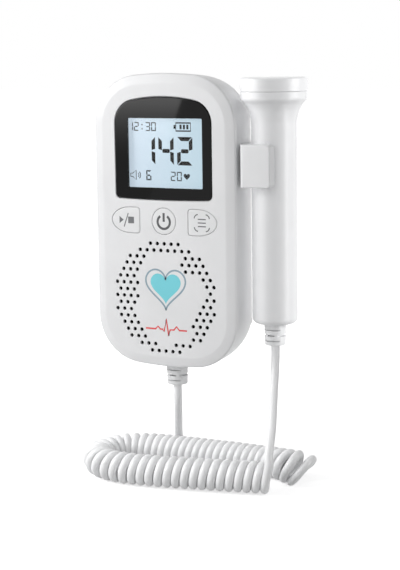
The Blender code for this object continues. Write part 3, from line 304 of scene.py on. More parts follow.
def moulded(name, colour, roughness, cloud=0.02, grain=0.000012, shine=0.5):
    """Moulded plastic or rubber: faintly cloudy, unevenly glossy, with a fine spark-eroded grain."""
    material, tree, shader = finish(name)
    place = add(tree, "TexCoord", out="Object")
    haze = add(tree, "TexNoise", {"Vector": place, "Scale": HAZE_SCALE, "Detail": 3})
    pits = add(tree, "TexNoise", {"Vector": place, "Scale": GRAIN_SCALE, "Detail": 2})
    tones = [c * (1 - cloud) for c in colour], [min(1, c * (1 + cloud)) for c in colour]
    feed(tree, shader, {
        "Base Color": ramp(tree, haze, tones, HAZE_SPAN),
        "Roughness": span(tree, haze, HAZE_SPAN, (roughness * 0.9, roughness * 1.1)),
        "Specular IOR Level": shine,
        "Normal": add(tree, "Bump", {"Height": pits, "Strength": 0.25, "Distance": grain}),
    })
    return material


def smooth(piece, angle=32):
    piece.data.shade_smooth()
    piece.data.set_sharp_from_angle(angle=math.radians(angle))
    return piece


def fit(piece, material, body, node=None):
    """Gives a piece its finish, lets it ride on its body and puts it in the place of a CAD node."""
    piece.data.materials.clear()
    piece.data.materials.append(material)
    smooth(piece)
    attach(piece, body)
    if node:
        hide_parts(node)
    return piece


def centre_of(node):
    """Where a node's middle lies, seen from the front."""
    low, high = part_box(node)
    return (low.x + high.x) / 2, (low.z + high.z) / 2 - middle_z


case_white = moulded("case_white_abs", CASE_WHITE, 0.34)
case_screw_spots = [centre_of(f"case_screw_{i}") for i in range(1, 5)]
board_screw_spots = [centre_of(f"board_screw_{i}") for i in range(1, 5)]
levels = [(BAND_WIDTH + FACE_MARGIN, case_depth)]
for s in np.linspace(0, 1, 5):
    levels.append((BAND_WIDTH + BAND_EASE * (1 - 2 * s), case_depth - math.tan(BAND_SLOPE) * BAND_EASE * s * s))
edge_x = FACE_EDGE_R * (1 - math.sin(BAND_SLOPE))
edge_h = case_depth - math.tan(BAND_SLOPE) * (BAND_WIDTH - edge_x) - FACE_EDGE_R * math.cos(BAND_SLOPE)
for a in np.linspace(BAND_SLOPE, math.pi / 2, 9):
    levels.append((FACE_EDGE_R * (1 - math.sin(a)), edge_h + FACE_EDGE_R * math.cos(a)))
levels += rolled(SEAM_EASE, -SEAM_EASE, seam_front, 4)[::-1]
levels += [(WALL, seam_front), (WALL + INNER_ROLL, front_inner)]
case_front = layered("case_front", case_outline, levels)
inside, past, deep = front_inner + WALL / 2, case_depth + OVERRUN, front_inner - OVERRUN
combine(
    case_front, "UNION", rods("bosses", case_screw_spots, [(BOSS_R, BOSS_END), (BOSS_R, inside)]),
    rods("posts", board_screw_spots, [(POST_R, board_front + FIT), (POST_R, inside)]),
)


def opening(name, outline_of, gap, floor):
    """A tool for an opening in the face, with a softened rim."""
    levels = [(-gap, floor), (-gap, case_depth - KEY_RIM), (-gap - KEY_RIM, case_depth)]
    return layered(name, outline_of, levels + [(-gap - KEY_RIM, past)])


window_outline = plate(0, WINDOW_Z, WINDOW_WIDTH, WINDOW_HEIGHT, WINDOW_CORNER_R)
tools = [opening("lens_pocket", lens_outline, FIT, case_depth - LENS_POCKET)]
tools.append(layered("window", window_outline, [(0, deep), (0, past)]))
for name, outline_of in key_outlines.items():
    tools.append(opening(name + "_opening", outline_of, KEY_GAP, deep))
holes = [
    (step * HOLE_PITCH / 2, HOLE_TOP_Z - row * HOLE_ROW_STEP)
    for row, runs in enumerate(HOLE_RUNS) for first, last in runs for step in range(first, last + 1, 2)
]
hole_profile = [(HOLE_BACK_R, deep), (HOLE_BACK_R, front_inner), (HOLE_R, case_depth - HOLE_LIP)]
hole_profile += [(HOLE_R, case_depth - HOLE_RIM), (HOLE_R + HOLE_RIM, case_depth), (HOLE_R + HOLE_RIM, past)]
tools.append(rods("sound_holes", holes, hole_profile, 20))
boss_bore = [(SCREW_BORE_R, BOSS_END - OVERRUN), (SCREW_BORE_R, BOSS_BORE_END)]
tools.append(rods("boss_bores", case_screw_spots, boss_bore))
post_bore = [(POST_BORE_R, board_front - OVERRUN), (POST_BORE_R, front_inner)]
tools.append(rods("post_bores", board_screw_spots, post_bore))
combine(case_front, "DIFFERENCE", *tools)
fit(case_front, case_white, "unit", "front_shell")

# Print on the face inside the ring of holes: pad-printed inks, a few hundredths of a millimetre
# thick. A plain heart and a pulse trace stand in the place of the real unit's picture.
INK_THICK = 0.00003
HEART_WIDTH = 0.0215
HEART_X = 0.0004
HEART_Z = -0.0310
HEART_LINE = 0.00085
FILL_SHARE = 0.76
TRACE_LINE = 0.00080
TRACE_Z = -0.0520
TURQUOISE = (0.185, 0.655, 0.735)
GREY_BLUE = (0.270, 0.370, 0.435)
PULSE_RED = (0.745, 0.075, 0.075)


def inlay(name, shapes, h, thick=INK_THICK):
    """Flat shapes seen from the front, raised by thick from a face at height h."""
    bm = bmesh.new()
    for shape in shapes:
        bm.faces.new([bm.verts.new(point) for point in at_height(shape, h - thick)])
    raised = bmesh.ops.extrude_face_region(bm, geom=bm.faces[:], use_keep_orig=True)["geom"]
    tops = [part for part in raised if isinstance(part, bmesh.types.BMVert)]
    bmesh.ops.translate(bm, vec=(0, -2 * thick, 0), verts=tops)
    return solid(name, bm)


def stroke(points, width, closed=False):
    """A drawn line of even width, as one four-sided shape for each of its steps."""
    line = np.array(points, float)
    if closed:
        line = np.vstack([line, line[:1]])
        ways = np.roll(line[:-1], -1, axis=0) - np.roll(line[:-1], 1, axis=0)
        ways = np.vstack([ways, ways[:1]])
    else:
        ways = np.gradient(line, axis=0)
    ways /= np.linalg.norm(ways, axis=1)[:, None]
    side = np.stack([-ways[:, 1], ways[:, 0]], axis=1) * width / 2
    near, far = line + side, line - side
    return [[near[i], near[i + 1], far[i + 1], far[i]] for i in range(len(line) - 1)]


def heart(x, z, width, steps=72):
    points = []
    for a in np.linspace(0, 2 * math.pi, steps, endpoint=False):
        high = 13 * math.cos(a) - 5 * math.cos(2 * a) - 2 * math.cos(3 * a) - math.cos(4 * a)
        points.append((x + width / 2 * math.sin(a) ** 3, z + width / 32 * high))
    return points


def ink(name, colour, shine=0.5):
    """Printed ink: nearly even, a little mottled where the pad lifted."""
    return moulded(name, colour, 0.5, 0.04, 0.000004, shine)


filled = inlay("heart_print", [heart(HEART_X, HEART_Z, HEART_WIDTH * FILL_SHARE)], case_depth)
fit(filled, ink("turquoise_ink", TURQUOISE), "unit")
line = inlay("heart_line_print", stroke(heart(HEART_X, HEART_Z, HEART_WIDTH), HEART_LINE, True), case_depth)
fit(line, ink("grey_blue_ink", GREY_BLUE), "unit")
trace_shares = [
    (-0.52, 0), (-0.27, 0), (-0.21, 0.06), (-0.15, 0), (-0.09, 0), (-0.06, -0.05), (0.00, 0.24),
    (0.06, -0.14), (0.10, 0), (0.19, 0), (0.26, 0.08), (0.33, 0), (0.52, 0),
]
trace = [(HEART_X + x * HEART_WIDTH, TRACE_Z + z * HEART_WIDTH) for x, z in trace_shares]
fit(inlay("pulse_print", stroke(trace, TRACE_LINE), case_depth), ink("pulse_red_ink", PULSE_RED), "unit")

# Lens over the display: a clear acrylic plate let into the face. A black border is printed on it
# round the clear window, and the plate's polished front runs unbroken over both.
LENS_EASE = 0.00018
CLEAR_X = 0.0011
CLEAR_WIDTH = 0.0398
CLEAR_LOW = 0.01635
CLEAR_HIGH = 0.0493
CLEAR_CORNER_R = 0.0006
PANE_GAP = 0.00001
PANE_MIRROR = 0.0135
BORDER_BLACK = (0.0030, 0.0029, 0.0030)

lens_back = -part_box("screen_lens")[1].y
clear_height, clear_z = CLEAR_HIGH - CLEAR_LOW, (CLEAR_LOW + CLEAR_HIGH) / 2
clear_outline = plate(CLEAR_X, clear_z, CLEAR_WIDTH, clear_height, CLEAR_CORNER_R)
levels = [(LENS_EASE * 3, case_depth)] + rolled(LENS_EASE, LENS_EASE, case_depth, 4) + [(0, lens_back)]
lens_border = layered("lens_border", lens_outline, levels)
combine(lens_border, "DIFFERENCE", layered("clear", clear_outline, [(0, lens_back - OVERRUN), (0, past)]))
black_print = moulded("lens_black_print", BORDER_BLACK, 0.03, 0.05, 0.0000001, 0.16)
fit(lens_border, black_print, "unit", "screen_lens")

pane = layered("lens_pane", clear_outline, [(PANE_GAP, case_depth), (PANE_GAP, lens_back)])
clear_acrylic, tree, shader = finish("lens_clear")
feed(tree, shader, {"Base Color": (1, 1, 1, 1), "Metallic": 1, "Roughness": 0.03, "Alpha": PANE_MIRROR})
fit(pane, clear_acrylic, "unit", "screen_lens")

# Display: a liquid crystal panel in front of a blue-white light guide. The driven segments stand
# dark on it: large figures, a clock, a battery, a loudspeaker with its level, and small figures.
SEGMENT_THICK = 0.00002
PANEL_EASE = 0.0002
BIG_FIGURES = ("142", -0.0094, 0.0338, 0.0082, 0.0134, 0.0100, 0.0019)
LEVEL_FIGURE = ("6", -0.0090, 0.0220, 0.0028, 0.0048, 0.0030, 0.00065)
CLOCK_FIGURES = ("12 30", -0.0184, 0.0452, 0.0026, 0.0042, 0.0031, 0.00052)
SMALL_FIGURES = ("20", 0.0042, 0.0218, 0.0026, 0.0044, 0.0033, 0.00052)
CLOCK_DOTS = [(-0.0125, -0.0119, 0.0438, 0.0444), (-0.0125, -0.0119, 0.0458, 0.0464)]
BATTERY_STROKE = 0.0007
BATTERY_ICON = [(0.0060, 0.0471), (0.0138, 0.0471), (0.0138, 0.0433), (0.0060, 0.0433)]
BATTERY_NUB = (0.0048, 0.0058, 0.0443, 0.0461)
BATTERY_BARS = [(x, x + 0.0011, 0.0441, 0.0463) for x in (0.0080, 0.0098, 0.0116)]
SPEAKER_Z = 0.0220
SPEAKER_X = -0.0157
SPEAKER_STROKE = 0.00038
SPEAKER_WAVES = (0.0013, 0.0022)
SPEAKER_ICON = [(-0.0189, 0.0212), (-0.0178, 0.0212), (-0.0159, 0.0197)]
SMALL_HEART = (0.0115, 0.0219, 0.0034, 24)
# PANEL_LEFT and PANEL_RIGHT run the panel's colour and glow from paler at the left to darker at the right: a
# painted reflection of the light on the left.
PANEL_LEFT = (0.600, 0.710, 0.815)
PANEL_RIGHT = (0.510, 0.665, 0.755)
PANEL_GLOW = 0.75
PANEL_TINT = 0.30
SEGMENT_DARK = (0.0015, 0.0018, 0.0020)
SEGMENT_GREY = (0.016, 0.020, 0.026)
SEGMENT_TURNS = {"A": (1, 1), "D": (1, -1), "B": (1, 1), "C": (1, -1), "E": (-1, -1), "F": (-1, 1), "G": (1, 1)}
LIT = {" ": "", "0": "ABCDEF", "1": "BC", "2": "ABGED", "3": "ABGCD", "4": "FGBC", "6": "AFGECD"}


def figures(text, x, z, width, height, pitch, line):
    """Seven-segment figures with mitred segments. x and z are the middle of the first one."""
    w, h, gap = width / 2, height / 2, line * 0.12
    reach = w - line - gap
    level = [(-w + gap, h), (w - gap, h), (w - gap - line, h - line), (-w + gap + line, h - line)]
    upright = [(w, h - gap), (w, line * 0.45), (w - line, line * 0.15), (w - line, h - gap - line)]
    middle = [(-reach, line * 0.3), (-reach + line * 0.2, line / 2)]
    middle += [(-a, b) for a, b in middle[::-1]]
    middle += [(a, -b) for a, b in middle[::-1]]
    forms = {"A": level, "D": level, "G": middle}
    shapes = []
    for i, figure in enumerate(text):
        for segment in LIT[figure]:
            sx, sz = SEGMENT_TURNS[segment]
            shapes.append([(x + i * pitch + sx * a, z + sz * b) for a, b in forms.get(segment, upright)])
    return shapes


def box_shape(x0, x1, z0, z1):
    return [(x0, z0), (x1, z0), (x1, z1), (x0, z1)]


panel_low, panel_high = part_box("lcd_panel")
panel_front, panel_back = -panel_low.y, -panel_high.y


def place_along(tree, axis):
    """A point's place on the piece along an axis."""
    return add(tree, "SeparateXYZ", {"Vector": add(tree, "TexCoord", out="Object")}, axis)


def lit_panel(name):
    """The backlit face of the panel, which glows. It is paler towards the left: a painted reflection of the
    light on the left.
    """
    material = moulded(name, PANEL_LEFT, 0.3, 0, 0.000001, 0.2)
    tree = material.node_tree
    # The painted reflection fades from the window's left side to its right.
    across = span(tree, place_along(tree, "X"), (-WINDOW_WIDTH / 2, WINDOW_WIDTH / 2))
    lit, tint = (
        ramp(tree, across, [[c * share for c in tone] for tone in (PANEL_LEFT, PANEL_RIGHT)])
        for share in (1, PANEL_TINT)
    )
    inputs = {"Base Color": tint, "Emission Color": lit, "Emission Strength": PANEL_GLOW}
    feed(tree, tree.nodes["Principled BSDF"], inputs)
    return material


panel_width, panel_height = panel_high.x - panel_low.x, panel_high.z - panel_low.z
panel_outline = plate(*centre_of("lcd_panel"), panel_width, panel_height, WINDOW_CORNER_R)
levels = rolled(PANEL_EASE, PANEL_EASE, panel_front, 3) + [(0, panel_back)]
fit(layered("display_panel", panel_outline, levels), lit_panel("display_pale_blue"), "unit", "lcd_panel")

dark = figures(*BIG_FIGURES) + stroke(BATTERY_ICON, BATTERY_STROKE, True) + figures(*LEVEL_FIGURE)
dark += [box_shape(*sides) for sides in (BATTERY_NUB, *BATTERY_BARS)]
grey = figures(*CLOCK_FIGURES) + figures(*SMALL_FIGURES) + [heart(*SMALL_HEART)]
grey += [box_shape(*sides) for sides in CLOCK_DOTS]
lower_half = [(x, 2 * SPEAKER_Z - z) for x, z in SPEAKER_ICON[::-1]]
grey += stroke(SPEAKER_ICON + lower_half, SPEAKER_STROKE, True)
for reach in SPEAKER_WAVES:
    grey += stroke(arc(SPEAKER_X, SPEAKER_Z, reach, 45, 135, 8), SPEAKER_STROKE)
driven = ("display_segments", dark, SEGMENT_DARK), ("display_small_segments", grey, SEGMENT_GREY)
for name, shapes, colour in driven:
    fit(inlay(name, shapes, panel_front, SEGMENT_THICK), ink(name + "_ink", colour, 0.05), "unit")


def carry_over(material, *nodes):
    """A CAD node whose shape is right keeps it, and gets the real finish."""
    for node in nodes:
        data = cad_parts[node].data
        data.materials.clear()
        data.materials.append(material)


carry_over(moulded("light_guide_acrylic", (0.86, 0.89, 0.92), 0.25, grain=0.000002), "lcd_backlight")

# Keys: three white ABS caps, flush with the face in their openings. A flange behind the face keeps
# each one in, and its symbol is printed on its top in grey.
KEY_EDGE = 0.0004
KEY_FLANGE = 0.0008
KEY_FLANGE_T = 0.0010
SYMBOL_GREY = (0.150, 0.152, 0.160)
POWER_GREY = (0.075, 0.077, 0.082)
SYMBOL_LINE = 0.00052
POWER_LINE = 0.00115
POWER_RING = (0, -0.0003, 0.0033, 34, 326, 48)
POWER_BAR = [(0, -0.0002), (0, 0.0040)]
PLAY_ARROW = [(-0.0036, 0.0017), (-0.0013, 0), (-0.0036, -0.0017)]
PLAY_SLASH = [(-0.0011, -0.0033), (0.0013, 0.0033)]
STOP_SIDES = (0.0012, 0.0044, -0.0016, 0.0016)
MODE_SHIFT = 0.0003
MODE_BRACKET = (0.0019, 0.0019, 0.0021, 5, 85, 8)
MODE_BARS = [[(-0.0021, z), (0.0021, z)] for z in (-0.0017, 0, 0.0017)]

key_white = moulded("key_white_abs", (0.80, 0.803, 0.81), 0.34)
symbol_ink = ink("symbol_grey_ink", SYMBOL_GREY)
side_key_x = (SIDE_KEY_INNER + SIDE_KEY_OUTER) / 2
flange_front = front_inner - FIT
for name, outline_of in key_outlines.items():
    levels = [(KEY_EDGE * 3, case_depth)] + rolled(KEY_EDGE, KEY_EDGE, case_depth, 6)
    levels += [(0, flange_front), (-KEY_FLANGE, flange_front), (-KEY_FLANGE, flange_front - KEY_FLANGE_T)]
    cap = layered(name + "_cap", outline_of, levels)
    fit(cap, key_white, name + "_key", "button_" + name)

brackets = [[(sx * x, sz * z) for x, z in arc(*MODE_BRACKET)] for sx in (-1, 1) for sz in (-1, 1)]
play = [PLAY_ARROW, *stroke(PLAY_SLASH, SYMBOL_LINE), box_shape(*STOP_SIDES)]
power = stroke(arc(*POWER_RING), POWER_LINE) + stroke(POWER_BAR, POWER_LINE)
mode = sum((stroke(line, SYMBOL_LINE) for line in brackets + MODE_BARS), [])
power_ink = ink("power_grey_ink", POWER_GREY)
symbols = ("play", play, -side_key_x, symbol_ink), ("power", power, 0, power_ink)
for name, shapes, x, colour in (*symbols, ("mode", mode, side_key_x - MODE_SHIFT, symbol_ink)):
    placed = [[(x + a, KEY_Z + b) for a, b in shape] for shape in shapes]
    fit(inlay(name + "_symbol", placed, case_depth), colour, name + "_key")

# Main board: green fibreglass with two moulded chips and a switch behind each key. Four steel
# screws hold it to the posts of the front half.
BOARD_GREEN = (0.012, 0.125, 0.055)
WEAVE_SCALE = 1600
ZINC = (0.62, 0.62, 0.63)
DRAWN_SCALE = 420
DRAWN_STRETCH = (1, 1, 12)


def board_green(name):
    """Solder resist over glass cloth: a fine weave shows through the green."""
    material = moulded(name, BOARD_GREEN, 0.4, 0.10, 0.00001)
    tree = material.node_tree
    place = add(tree, "TexCoord", out="Object")
    weave = add(tree, "TexChecker", {"Vector": place, "Scale": WEAVE_SCALE}, "Fac")
    feed(tree, tree.nodes["Bump"], {"Height": weave})
    return material


def metal(name, colour, roughness):
    """Bare or plated metal with fine drawn lines that break up its shine."""
    material, tree, shader = finish(name)
    place = add(tree, "TexCoord", out="Object")
    pulled = add(tree, "Mapping", {"Vector": place, "Scale": DRAWN_STRETCH})
    lines = add(tree, "TexNoise", {"Vector": pulled, "Scale": DRAWN_SCALE})
    tones = ramp(tree, lines, ([c * 0.82 for c in colour], colour))
    gloss = span(tree, lines, end=(roughness * 0.7, roughness * 1.3))
    feed(tree, shader, {"Base Color": tones, "Metallic": 1, "Roughness": gloss})
    return material


zinc = metal("screw_zinc", ZINC, 0.3)
carry_over(board_green("board_green"), "main_board")
carry_over(moulded("chip_black", (0.018, 0.018, 0.019), 0.5), "processor_chip", "amplifier_chip")
carry_over(moulded("switch_black", (0.03, 0.03, 0.032), 0.4), "switch_play", "switch_power", "switch_mode")
carry_over(zinc, *[f"board_screw_{i}" for i in range(1, 5)])

# Speaker: a steel basket with a paper cone and a ferrite magnet, behind thin black cloth that keeps
# dust out of the sound holes.
carry_over(moulded("speaker_cloth", (0.010, 0.010, 0.011), 0.9, 0.2, 0.00004, 0.2), "speaker_felt")
carry_over(metal("basket_steel", (0.45, 0.46, 0.47), 0.4), "speaker_frame")
carry_over(moulded("cone_paper", (0.045, 0.044, 0.043), 0.85, 0.2, 0.00006), "speaker_cone")
carry_over(moulded("magnet_ferrite", (0.07, 0.07, 0.075), 0.55, 0.1, 0.00003), "speaker_magnet")

# Rear half of the case: the same white ABS. Its side rolls into a flat back, which has the battery
# bay, a thumb notch for the door, four screw wells and the hole for the strain relief.
BACK_ROLL = 0.011
SEAM_STEP = 0.0004
SIDE_STRAIGHT = 0.0050
BAY_LEDGE = 0.0020
BAY_FLOOR = 0.0163
TRAY_WALL = 0.0012
DOOR_CORNER_R = 0.0020
COLUMN_R = 0.0034
SCREW_SEAT_T = 0.0022
WELL_R = 0.0026
NOTCH_R = 0.0050
NOTCH_DEPTH = 0.0009
RELIEF_HOLE_R = 0.0037
BACK_EDGE = 0.0003

back_roll_depth = seam_rear - SIDE_STRAIGHT
door_low, door_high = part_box("battery_door")
door_thick = -door_low.y
door_x, door_z = centre_of("battery_door")
door_width, door_height = door_high.x - door_low.x, door_high.z - door_low.z
relief_h = -sum(corner.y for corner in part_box("unit_strain_relief")) / 2
screw_seat = BOSS_END - FIT - SCREW_SEAT_T
rear_roll = [
    (SEAM_STEP + BACK_ROLL * (1 - math.cos(a)), back_roll_depth * (1 - math.sin(a)))
    for a in np.radians(np.linspace(90, 0, 17))
]
squeeze = (back_roll_depth - WALL) / back_roll_depth
inner_roll = [(inset + WALL, WALL + h * squeeze) for inset, h in rear_roll]
door_outline = plate(door_x, door_z, door_width, door_height, DOOR_CORNER_R)
bay_outline = plate(door_x, door_z, door_width - 2 * BAY_LEDGE, door_height - 2 * BAY_LEDGE, BACK_EDGE)


def turned(name, profile, origin, along, sides=48, closed=False):
    """A turned solid. Its profile is (radius, distance) pairs, with the distance along a direction."""
    origin, along = Vector(origin), Vector(along).normalized()
    side = along.orthogonal().normalized()
    other = along.cross(side)
    turns = np.linspace(0, 2 * math.pi, sides, endpoint=False)
    ways = [side * math.cos(a) + other * math.sin(a) for a in turns]
    rings = []
    for radius, distance in profile:
        middle = origin + along * distance
        rings.append([middle + way * radius for way in (ways if radius > 0 else ways[:1])])
    return loft(name, rings, closed)


levels = [(rear_roll[0][0] + FACE_MARGIN, 0)] + rear_roll
levels += rolled(SEAM_EASE, SEAM_EASE, seam_rear, 3)[::-1]
levels = [(inset + SEAM_STEP * (h > back_roll_depth + FIT), h) for inset, h in levels]
levels += [(SEAM_STEP + WALL, seam_rear)] + inner_roll[::-1]
case_rear = layered("case_rear", case_outline, levels)
combine(
    case_rear, "UNION",
    layered("tray", bay_outline, [(-TRAY_WALL, WALL / 2), (-TRAY_WALL, BAY_FLOOR + TRAY_WALL)]),
    rods("columns", case_screw_spots, [(COLUMN_R, WALL / 2), (COLUMN_R, BOSS_END - FIT)]),
)
recess = [(-FIT - BACK_EDGE, -OVERRUN), (-FIT - BACK_EDGE, 0), (-FIT, BACK_EDGE), (-FIT, door_thick + FIT)]
notch_spot = [(door_x, door_z + door_height / 2 + FIT)]
relief_hole = turned(
    "relief_hole", [(0, -OVERRUN), (RELIEF_HOLE_R, -OVERRUN), (RELIEF_HOLE_R, 4 * WALL), (0, 4 * WALL)],
    (0, -relief_h, case_low.z - OVERRUN), (0, 0, 1),
)
combine(
    case_rear, "DIFFERENCE", layered("bay", bay_outline, [(0, -OVERRUN), (0, BAY_FLOOR)]),
    layered("door_recess", door_outline, recess),
    rods("head_wells", case_screw_spots, [(WELL_R, -OVERRUN), (WELL_R, screw_seat)]),
    rods("screw_bores", case_screw_spots, [(SCREW_BORE_R, 0), (SCREW_BORE_R, BOSS_END + OVERRUN)]),
    rods("thumb_notch", notch_spot, [(NOTCH_R, -OVERRUN), (NOTCH_R, NOTCH_DEPTH)], 48), relief_hole,
)
fit(case_rear, case_white, "unit", "rear_shell")

# Batteries: two AA cells side by side, top to tail, between nickel-plated strip contacts. A conical
# spring presses on the flat end of each.
SPRING_TURNS = 3
SPRING_R = 0.0030
SPRING_TIP_SHARE = 2 / 3
SPRING_WIRE_R = 0.0003
CELL_EDGE = 0.0006
CELL_NUB_R = 0.00275
CELL_NUB_T = 0.0010
CELL_COLLAR = 0.0060
SLEEVE_BLUE = (0.05, 0.06, 0.09)
COLLAR_COPPER = (0.60, 0.27, 0.11)

nickel = metal("contact_nickel", (0.72, 0.70, 0.66), 0.25)
carry_over(nickel, "battery_contact_left", "battery_contact_right", "battery_bridge")


def tube(name, path, radius, sides):
    """A round wire or cord along a dense path, with closed ends. Its section doesn't twist."""
    path = np.asarray(path, float)
    ways = np.gradient(path, axis=0)
    ways /= np.linalg.norm(ways, axis=1)[:, None]
    across = np.cross(ways[0], (0.3, 1.0, 0.2))
    turns = np.linspace(0, 2 * math.pi, sides, endpoint=False)
    rings = []
    for point, way in zip(path, ways):
        across = across - way * (across @ way)
        across /= np.linalg.norm(across)
        side = np.cross(way, across)
        rings.append(point + radius * (np.outer(np.cos(turns), across) + np.outer(np.sin(turns), side)))
    return loft(name, rings)


def cell_sleeve(name, plus_end, way):
    """A printed shrink sleeve: dark blue-grey, with a copper-coloured collar at the plus end."""
    material = moulded(name, SLEEVE_BLUE, 0.3, 0.05, 0.000002)
    tree = material.node_tree
    kind = "GREATER_THAN" if way > 0 else "LESS_THAN"
    collar = add(tree, "Math", {0: place_along(tree, "Z"), 1: plus_end - way * CELL_COLLAR}, operation=kind)
    inputs = {"Base Color": ramp(tree, collar, (SLEEVE_BLUE, COLLAR_COPPER)), "Metallic": 0.35}
    feed(tree, tree.nodes["Principled BSDF"], inputs)
    return material


for name, way in (("left", 1), ("right", -1)):
    low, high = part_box("battery_spring_" + name)
    x, y, _ = (low + high) / 2
    foot, travel = (low.z, high.z)[way < 0], high.z - low.z - 2 * SPRING_WIRE_R
    share = np.linspace(0, 1, SPRING_TURNS * 24 + 1)
    a, radius = 2 * math.pi * SPRING_TURNS * share, SPRING_R * (1 - share * (1 - SPRING_TIP_SHARE))
    z = foot + way * (SPRING_WIRE_R + travel * share)
    path = np.stack([x + radius * np.cos(a), y + radius * np.sin(a), z], axis=1)
    fit(tube(f"cell_spring_{name}", path, SPRING_WIRE_R, 10), nickel, "unit", "battery_spring_" + name)

    low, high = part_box("battery_cell_" + name)
    x, y, _ = (low + high) / 2
    foot, plus_end = (low.z, high.z)[::way]
    rim, length = (high.x - low.x) / 2 - CELL_EDGE, high.z - low.z
    shoulder = length - CELL_NUB_T
    profile = [(0, length), (CELL_NUB_R, length), (CELL_NUB_R, shoulder)]
    profile += arc(rim, shoulder - CELL_EDGE, CELL_EDGE, 0, 90, 4) + arc(rim, CELL_EDGE, CELL_EDGE, 90, 180, 4)
    cell = turned(f"cell_{name}", profile + [(0, 0)], (x, y, foot), (0, 0, way), 64)
    fit(cell, cell_sleeve("cell_sleeve_" + name, plus_end, way), "unit", "battery_cell_" + name)
    cell.data.materials.append(nickel)
    for face in cell.data.polygons:
        off = math.hypot(face.center.x - x, face.center.y - y)
        if abs(face.normal.z) > 0.9 or off < CELL_NUB_R + CELL_EDGE:
            face.material_index = 1

# Battery door: a thin white ABS panel that snaps into the back. Two slots free a springy tongue at
# its top, and a row of ribs in a shallow pocket gives the thumb a hold.
TONGUE_WIDTH = 0.0120
TONGUE_LEN = 0.0090
TONGUE_SLOT = 0.0010
DOOR_EDGE = 0.0003
RIB_COUNT = 5
RIB_PITCH = 0.0014
RIB_R = 0.0003
RIB_LENGTH = 0.00912
GRIP_DOWN = 0.00225
GRIP_WIDTH = 0.00984
GRIP_DEPTH = 0.00042

levels = [(DOOR_EDGE * 3, 0)] + rolled(DOOR_EDGE, -DOOR_EDGE, 0, 4) + [(0, door_thick)]
door = layered("door_panel", door_outline, levels)
door_top = door_z + door_height / 2
rib_zs = [door_top - GRIP_DOWN - i * RIB_PITCH for i in range(RIB_COUNT)]
slots = []
for side in (-1, 1):
    x, z = side * (TONGUE_WIDTH + TONGUE_SLOT) / 2, door_top - (TONGUE_LEN - OVERRUN) / 2
    slot = rounded(x, z, TONGUE_SLOT, TONGUE_LEN + OVERRUN, TONGUE_SLOT * 0.45)
    slots.append(loft(f"slot_{side}", [at_height(slot, -OVERRUN), at_height(slot, door_thick + OVERRUN)]))
grip = rounded(0, sum(rib_zs) / RIB_COUNT, GRIP_WIDTH, RIB_COUNT * RIB_PITCH, RIB_R)
slots.append(loft("grip", [at_height(grip, -OVERRUN), at_height(grip, GRIP_DEPTH)]))
combine(door, "DIFFERENCE", *slots)
half = RIB_LENGTH / 2
profile = [(0, -half), (RIB_R, -half + RIB_R), (RIB_R, half - RIB_R), (0, half)]
grips = [turned("rib", profile, (0, -RIB_R, z + middle_z), (1, 0, 0), 12) for z in rib_zs]
combine(door, "UNION", *grips)
fit(door, case_white, "door", "battery_door")

# Screws that close the case: zinc-plated and pan-headed, with a cross recess. They sit deep in
# their wells in the back and run into the bosses of the front half.
SCREW_HEAD_T = 0.0016
HEAD_DOME = [(0, 0), (0.55, 0.00008), (0.85, 0.00035), (1, 0.0008), (1, SCREW_HEAD_T)]
CROSS_WIDTH = 0.0005
CROSS_REACH = 0.0014
CROSS_DEPTH = 0.0008


def block(name, middle, size):
    """A box by its middle and its size."""
    bm = bmesh.new()
    bmesh.ops.create_cube(bm, size=1.0, matrix=Matrix.Translation(middle) @ Matrix.Diagonal((*size, 1)))
    return solid(name, bm)


for i in range(1, 5):
    low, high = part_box(f"case_screw_{i}")
    middle = ((low.x + high.x) / 2, high.y, (low.z + high.z) / 2)
    head_r, length = (high.x - low.x) / 2, high.y - low.y
    shank = SCREW_BORE_R - FIT
    profile = [(head_r * share, depth) for share, depth in HEAD_DOME]
    profile += [(shank, SCREW_HEAD_T), (shank, length - shank), (shank / 2, length), (0, length)]
    screw = turned(f"closing_screw_{i}", profile, middle, (0, -1, 0), 32)
    for width, height in ((2 * CROSS_REACH, CROSS_WIDTH), (CROSS_WIDTH, 2 * CROSS_REACH)):
        combine(screw, "DIFFERENCE", block("cross", middle, (width, 2 * CROSS_DEPTH, height)))
    fit(screw, zinc, "unit", f"case_screw_{i}")

# Clip that holds the probe: one hook of white ABS on the case's side, screwed on from inside. Its
# pad and its back arm lie round the handle and spring open towards +X.
PROBE_H = 0.0160
CLIP_SLIDE_GAP = 0.0003
CLIP_BACK_T = 0.0018
CLIP_BASE_LOW = 0.0100
CLIP_BASE_HIGH = 0.0250
CLIP_EDGE = 0.0008
CLIP_CORNER_R = 0.0020
CLIP_BEND_R = 0.0026
CLIP_STEPS = 48
HANDLE_R = 0.0109

probe_x = sum(corner.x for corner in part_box("probe_cap")) / 2
clip_low, clip_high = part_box("probe_clip")
_, clip_z = centre_of("probe_clip")
clip_height = clip_high.z - clip_low.z
clip_front, clip_tip = -clip_low.y, clip_high.x
channel_r = HANDLE_R + CLIP_SLIDE_GAP
base_x = case_half + FIT
outer_r = channel_r + CLIP_BACK_T
insets, heights = zip(*rear_roll)
wall_heights = np.linspace(CLIP_BASE_LOW, CLIP_BASE_HIGH, CLIP_STEPS // 2 + 1)
wall = list(zip(base_x - np.interp(wall_heights, heights, insets), wall_heights))
low_turn = math.degrees(math.acos((PROBE_H - CLIP_BASE_LOW) / outer_r))
beyond, pad_low = clip_tip + OVERRUN, PROBE_H + channel_r
outline = [(beyond, PROBE_H - outer_r)]
outline += arc(probe_x, PROBE_H, outer_r, 180, 180 + low_turn, CLIP_STEPS // 2) + wall
pad_left = probe_x - HANDLE_R
bend = arc(pad_left + CLIP_BEND_R, clip_front - CLIP_BEND_R, CLIP_BEND_R, -90, 0, 16)
outline += [(pad_left, CLIP_BASE_HIGH + CLIP_EDGE)] + bend
outline += [(bend[-1][0], clip_front + OVERRUN), (beyond, clip_front + OVERRUN), (beyond, pad_low)]
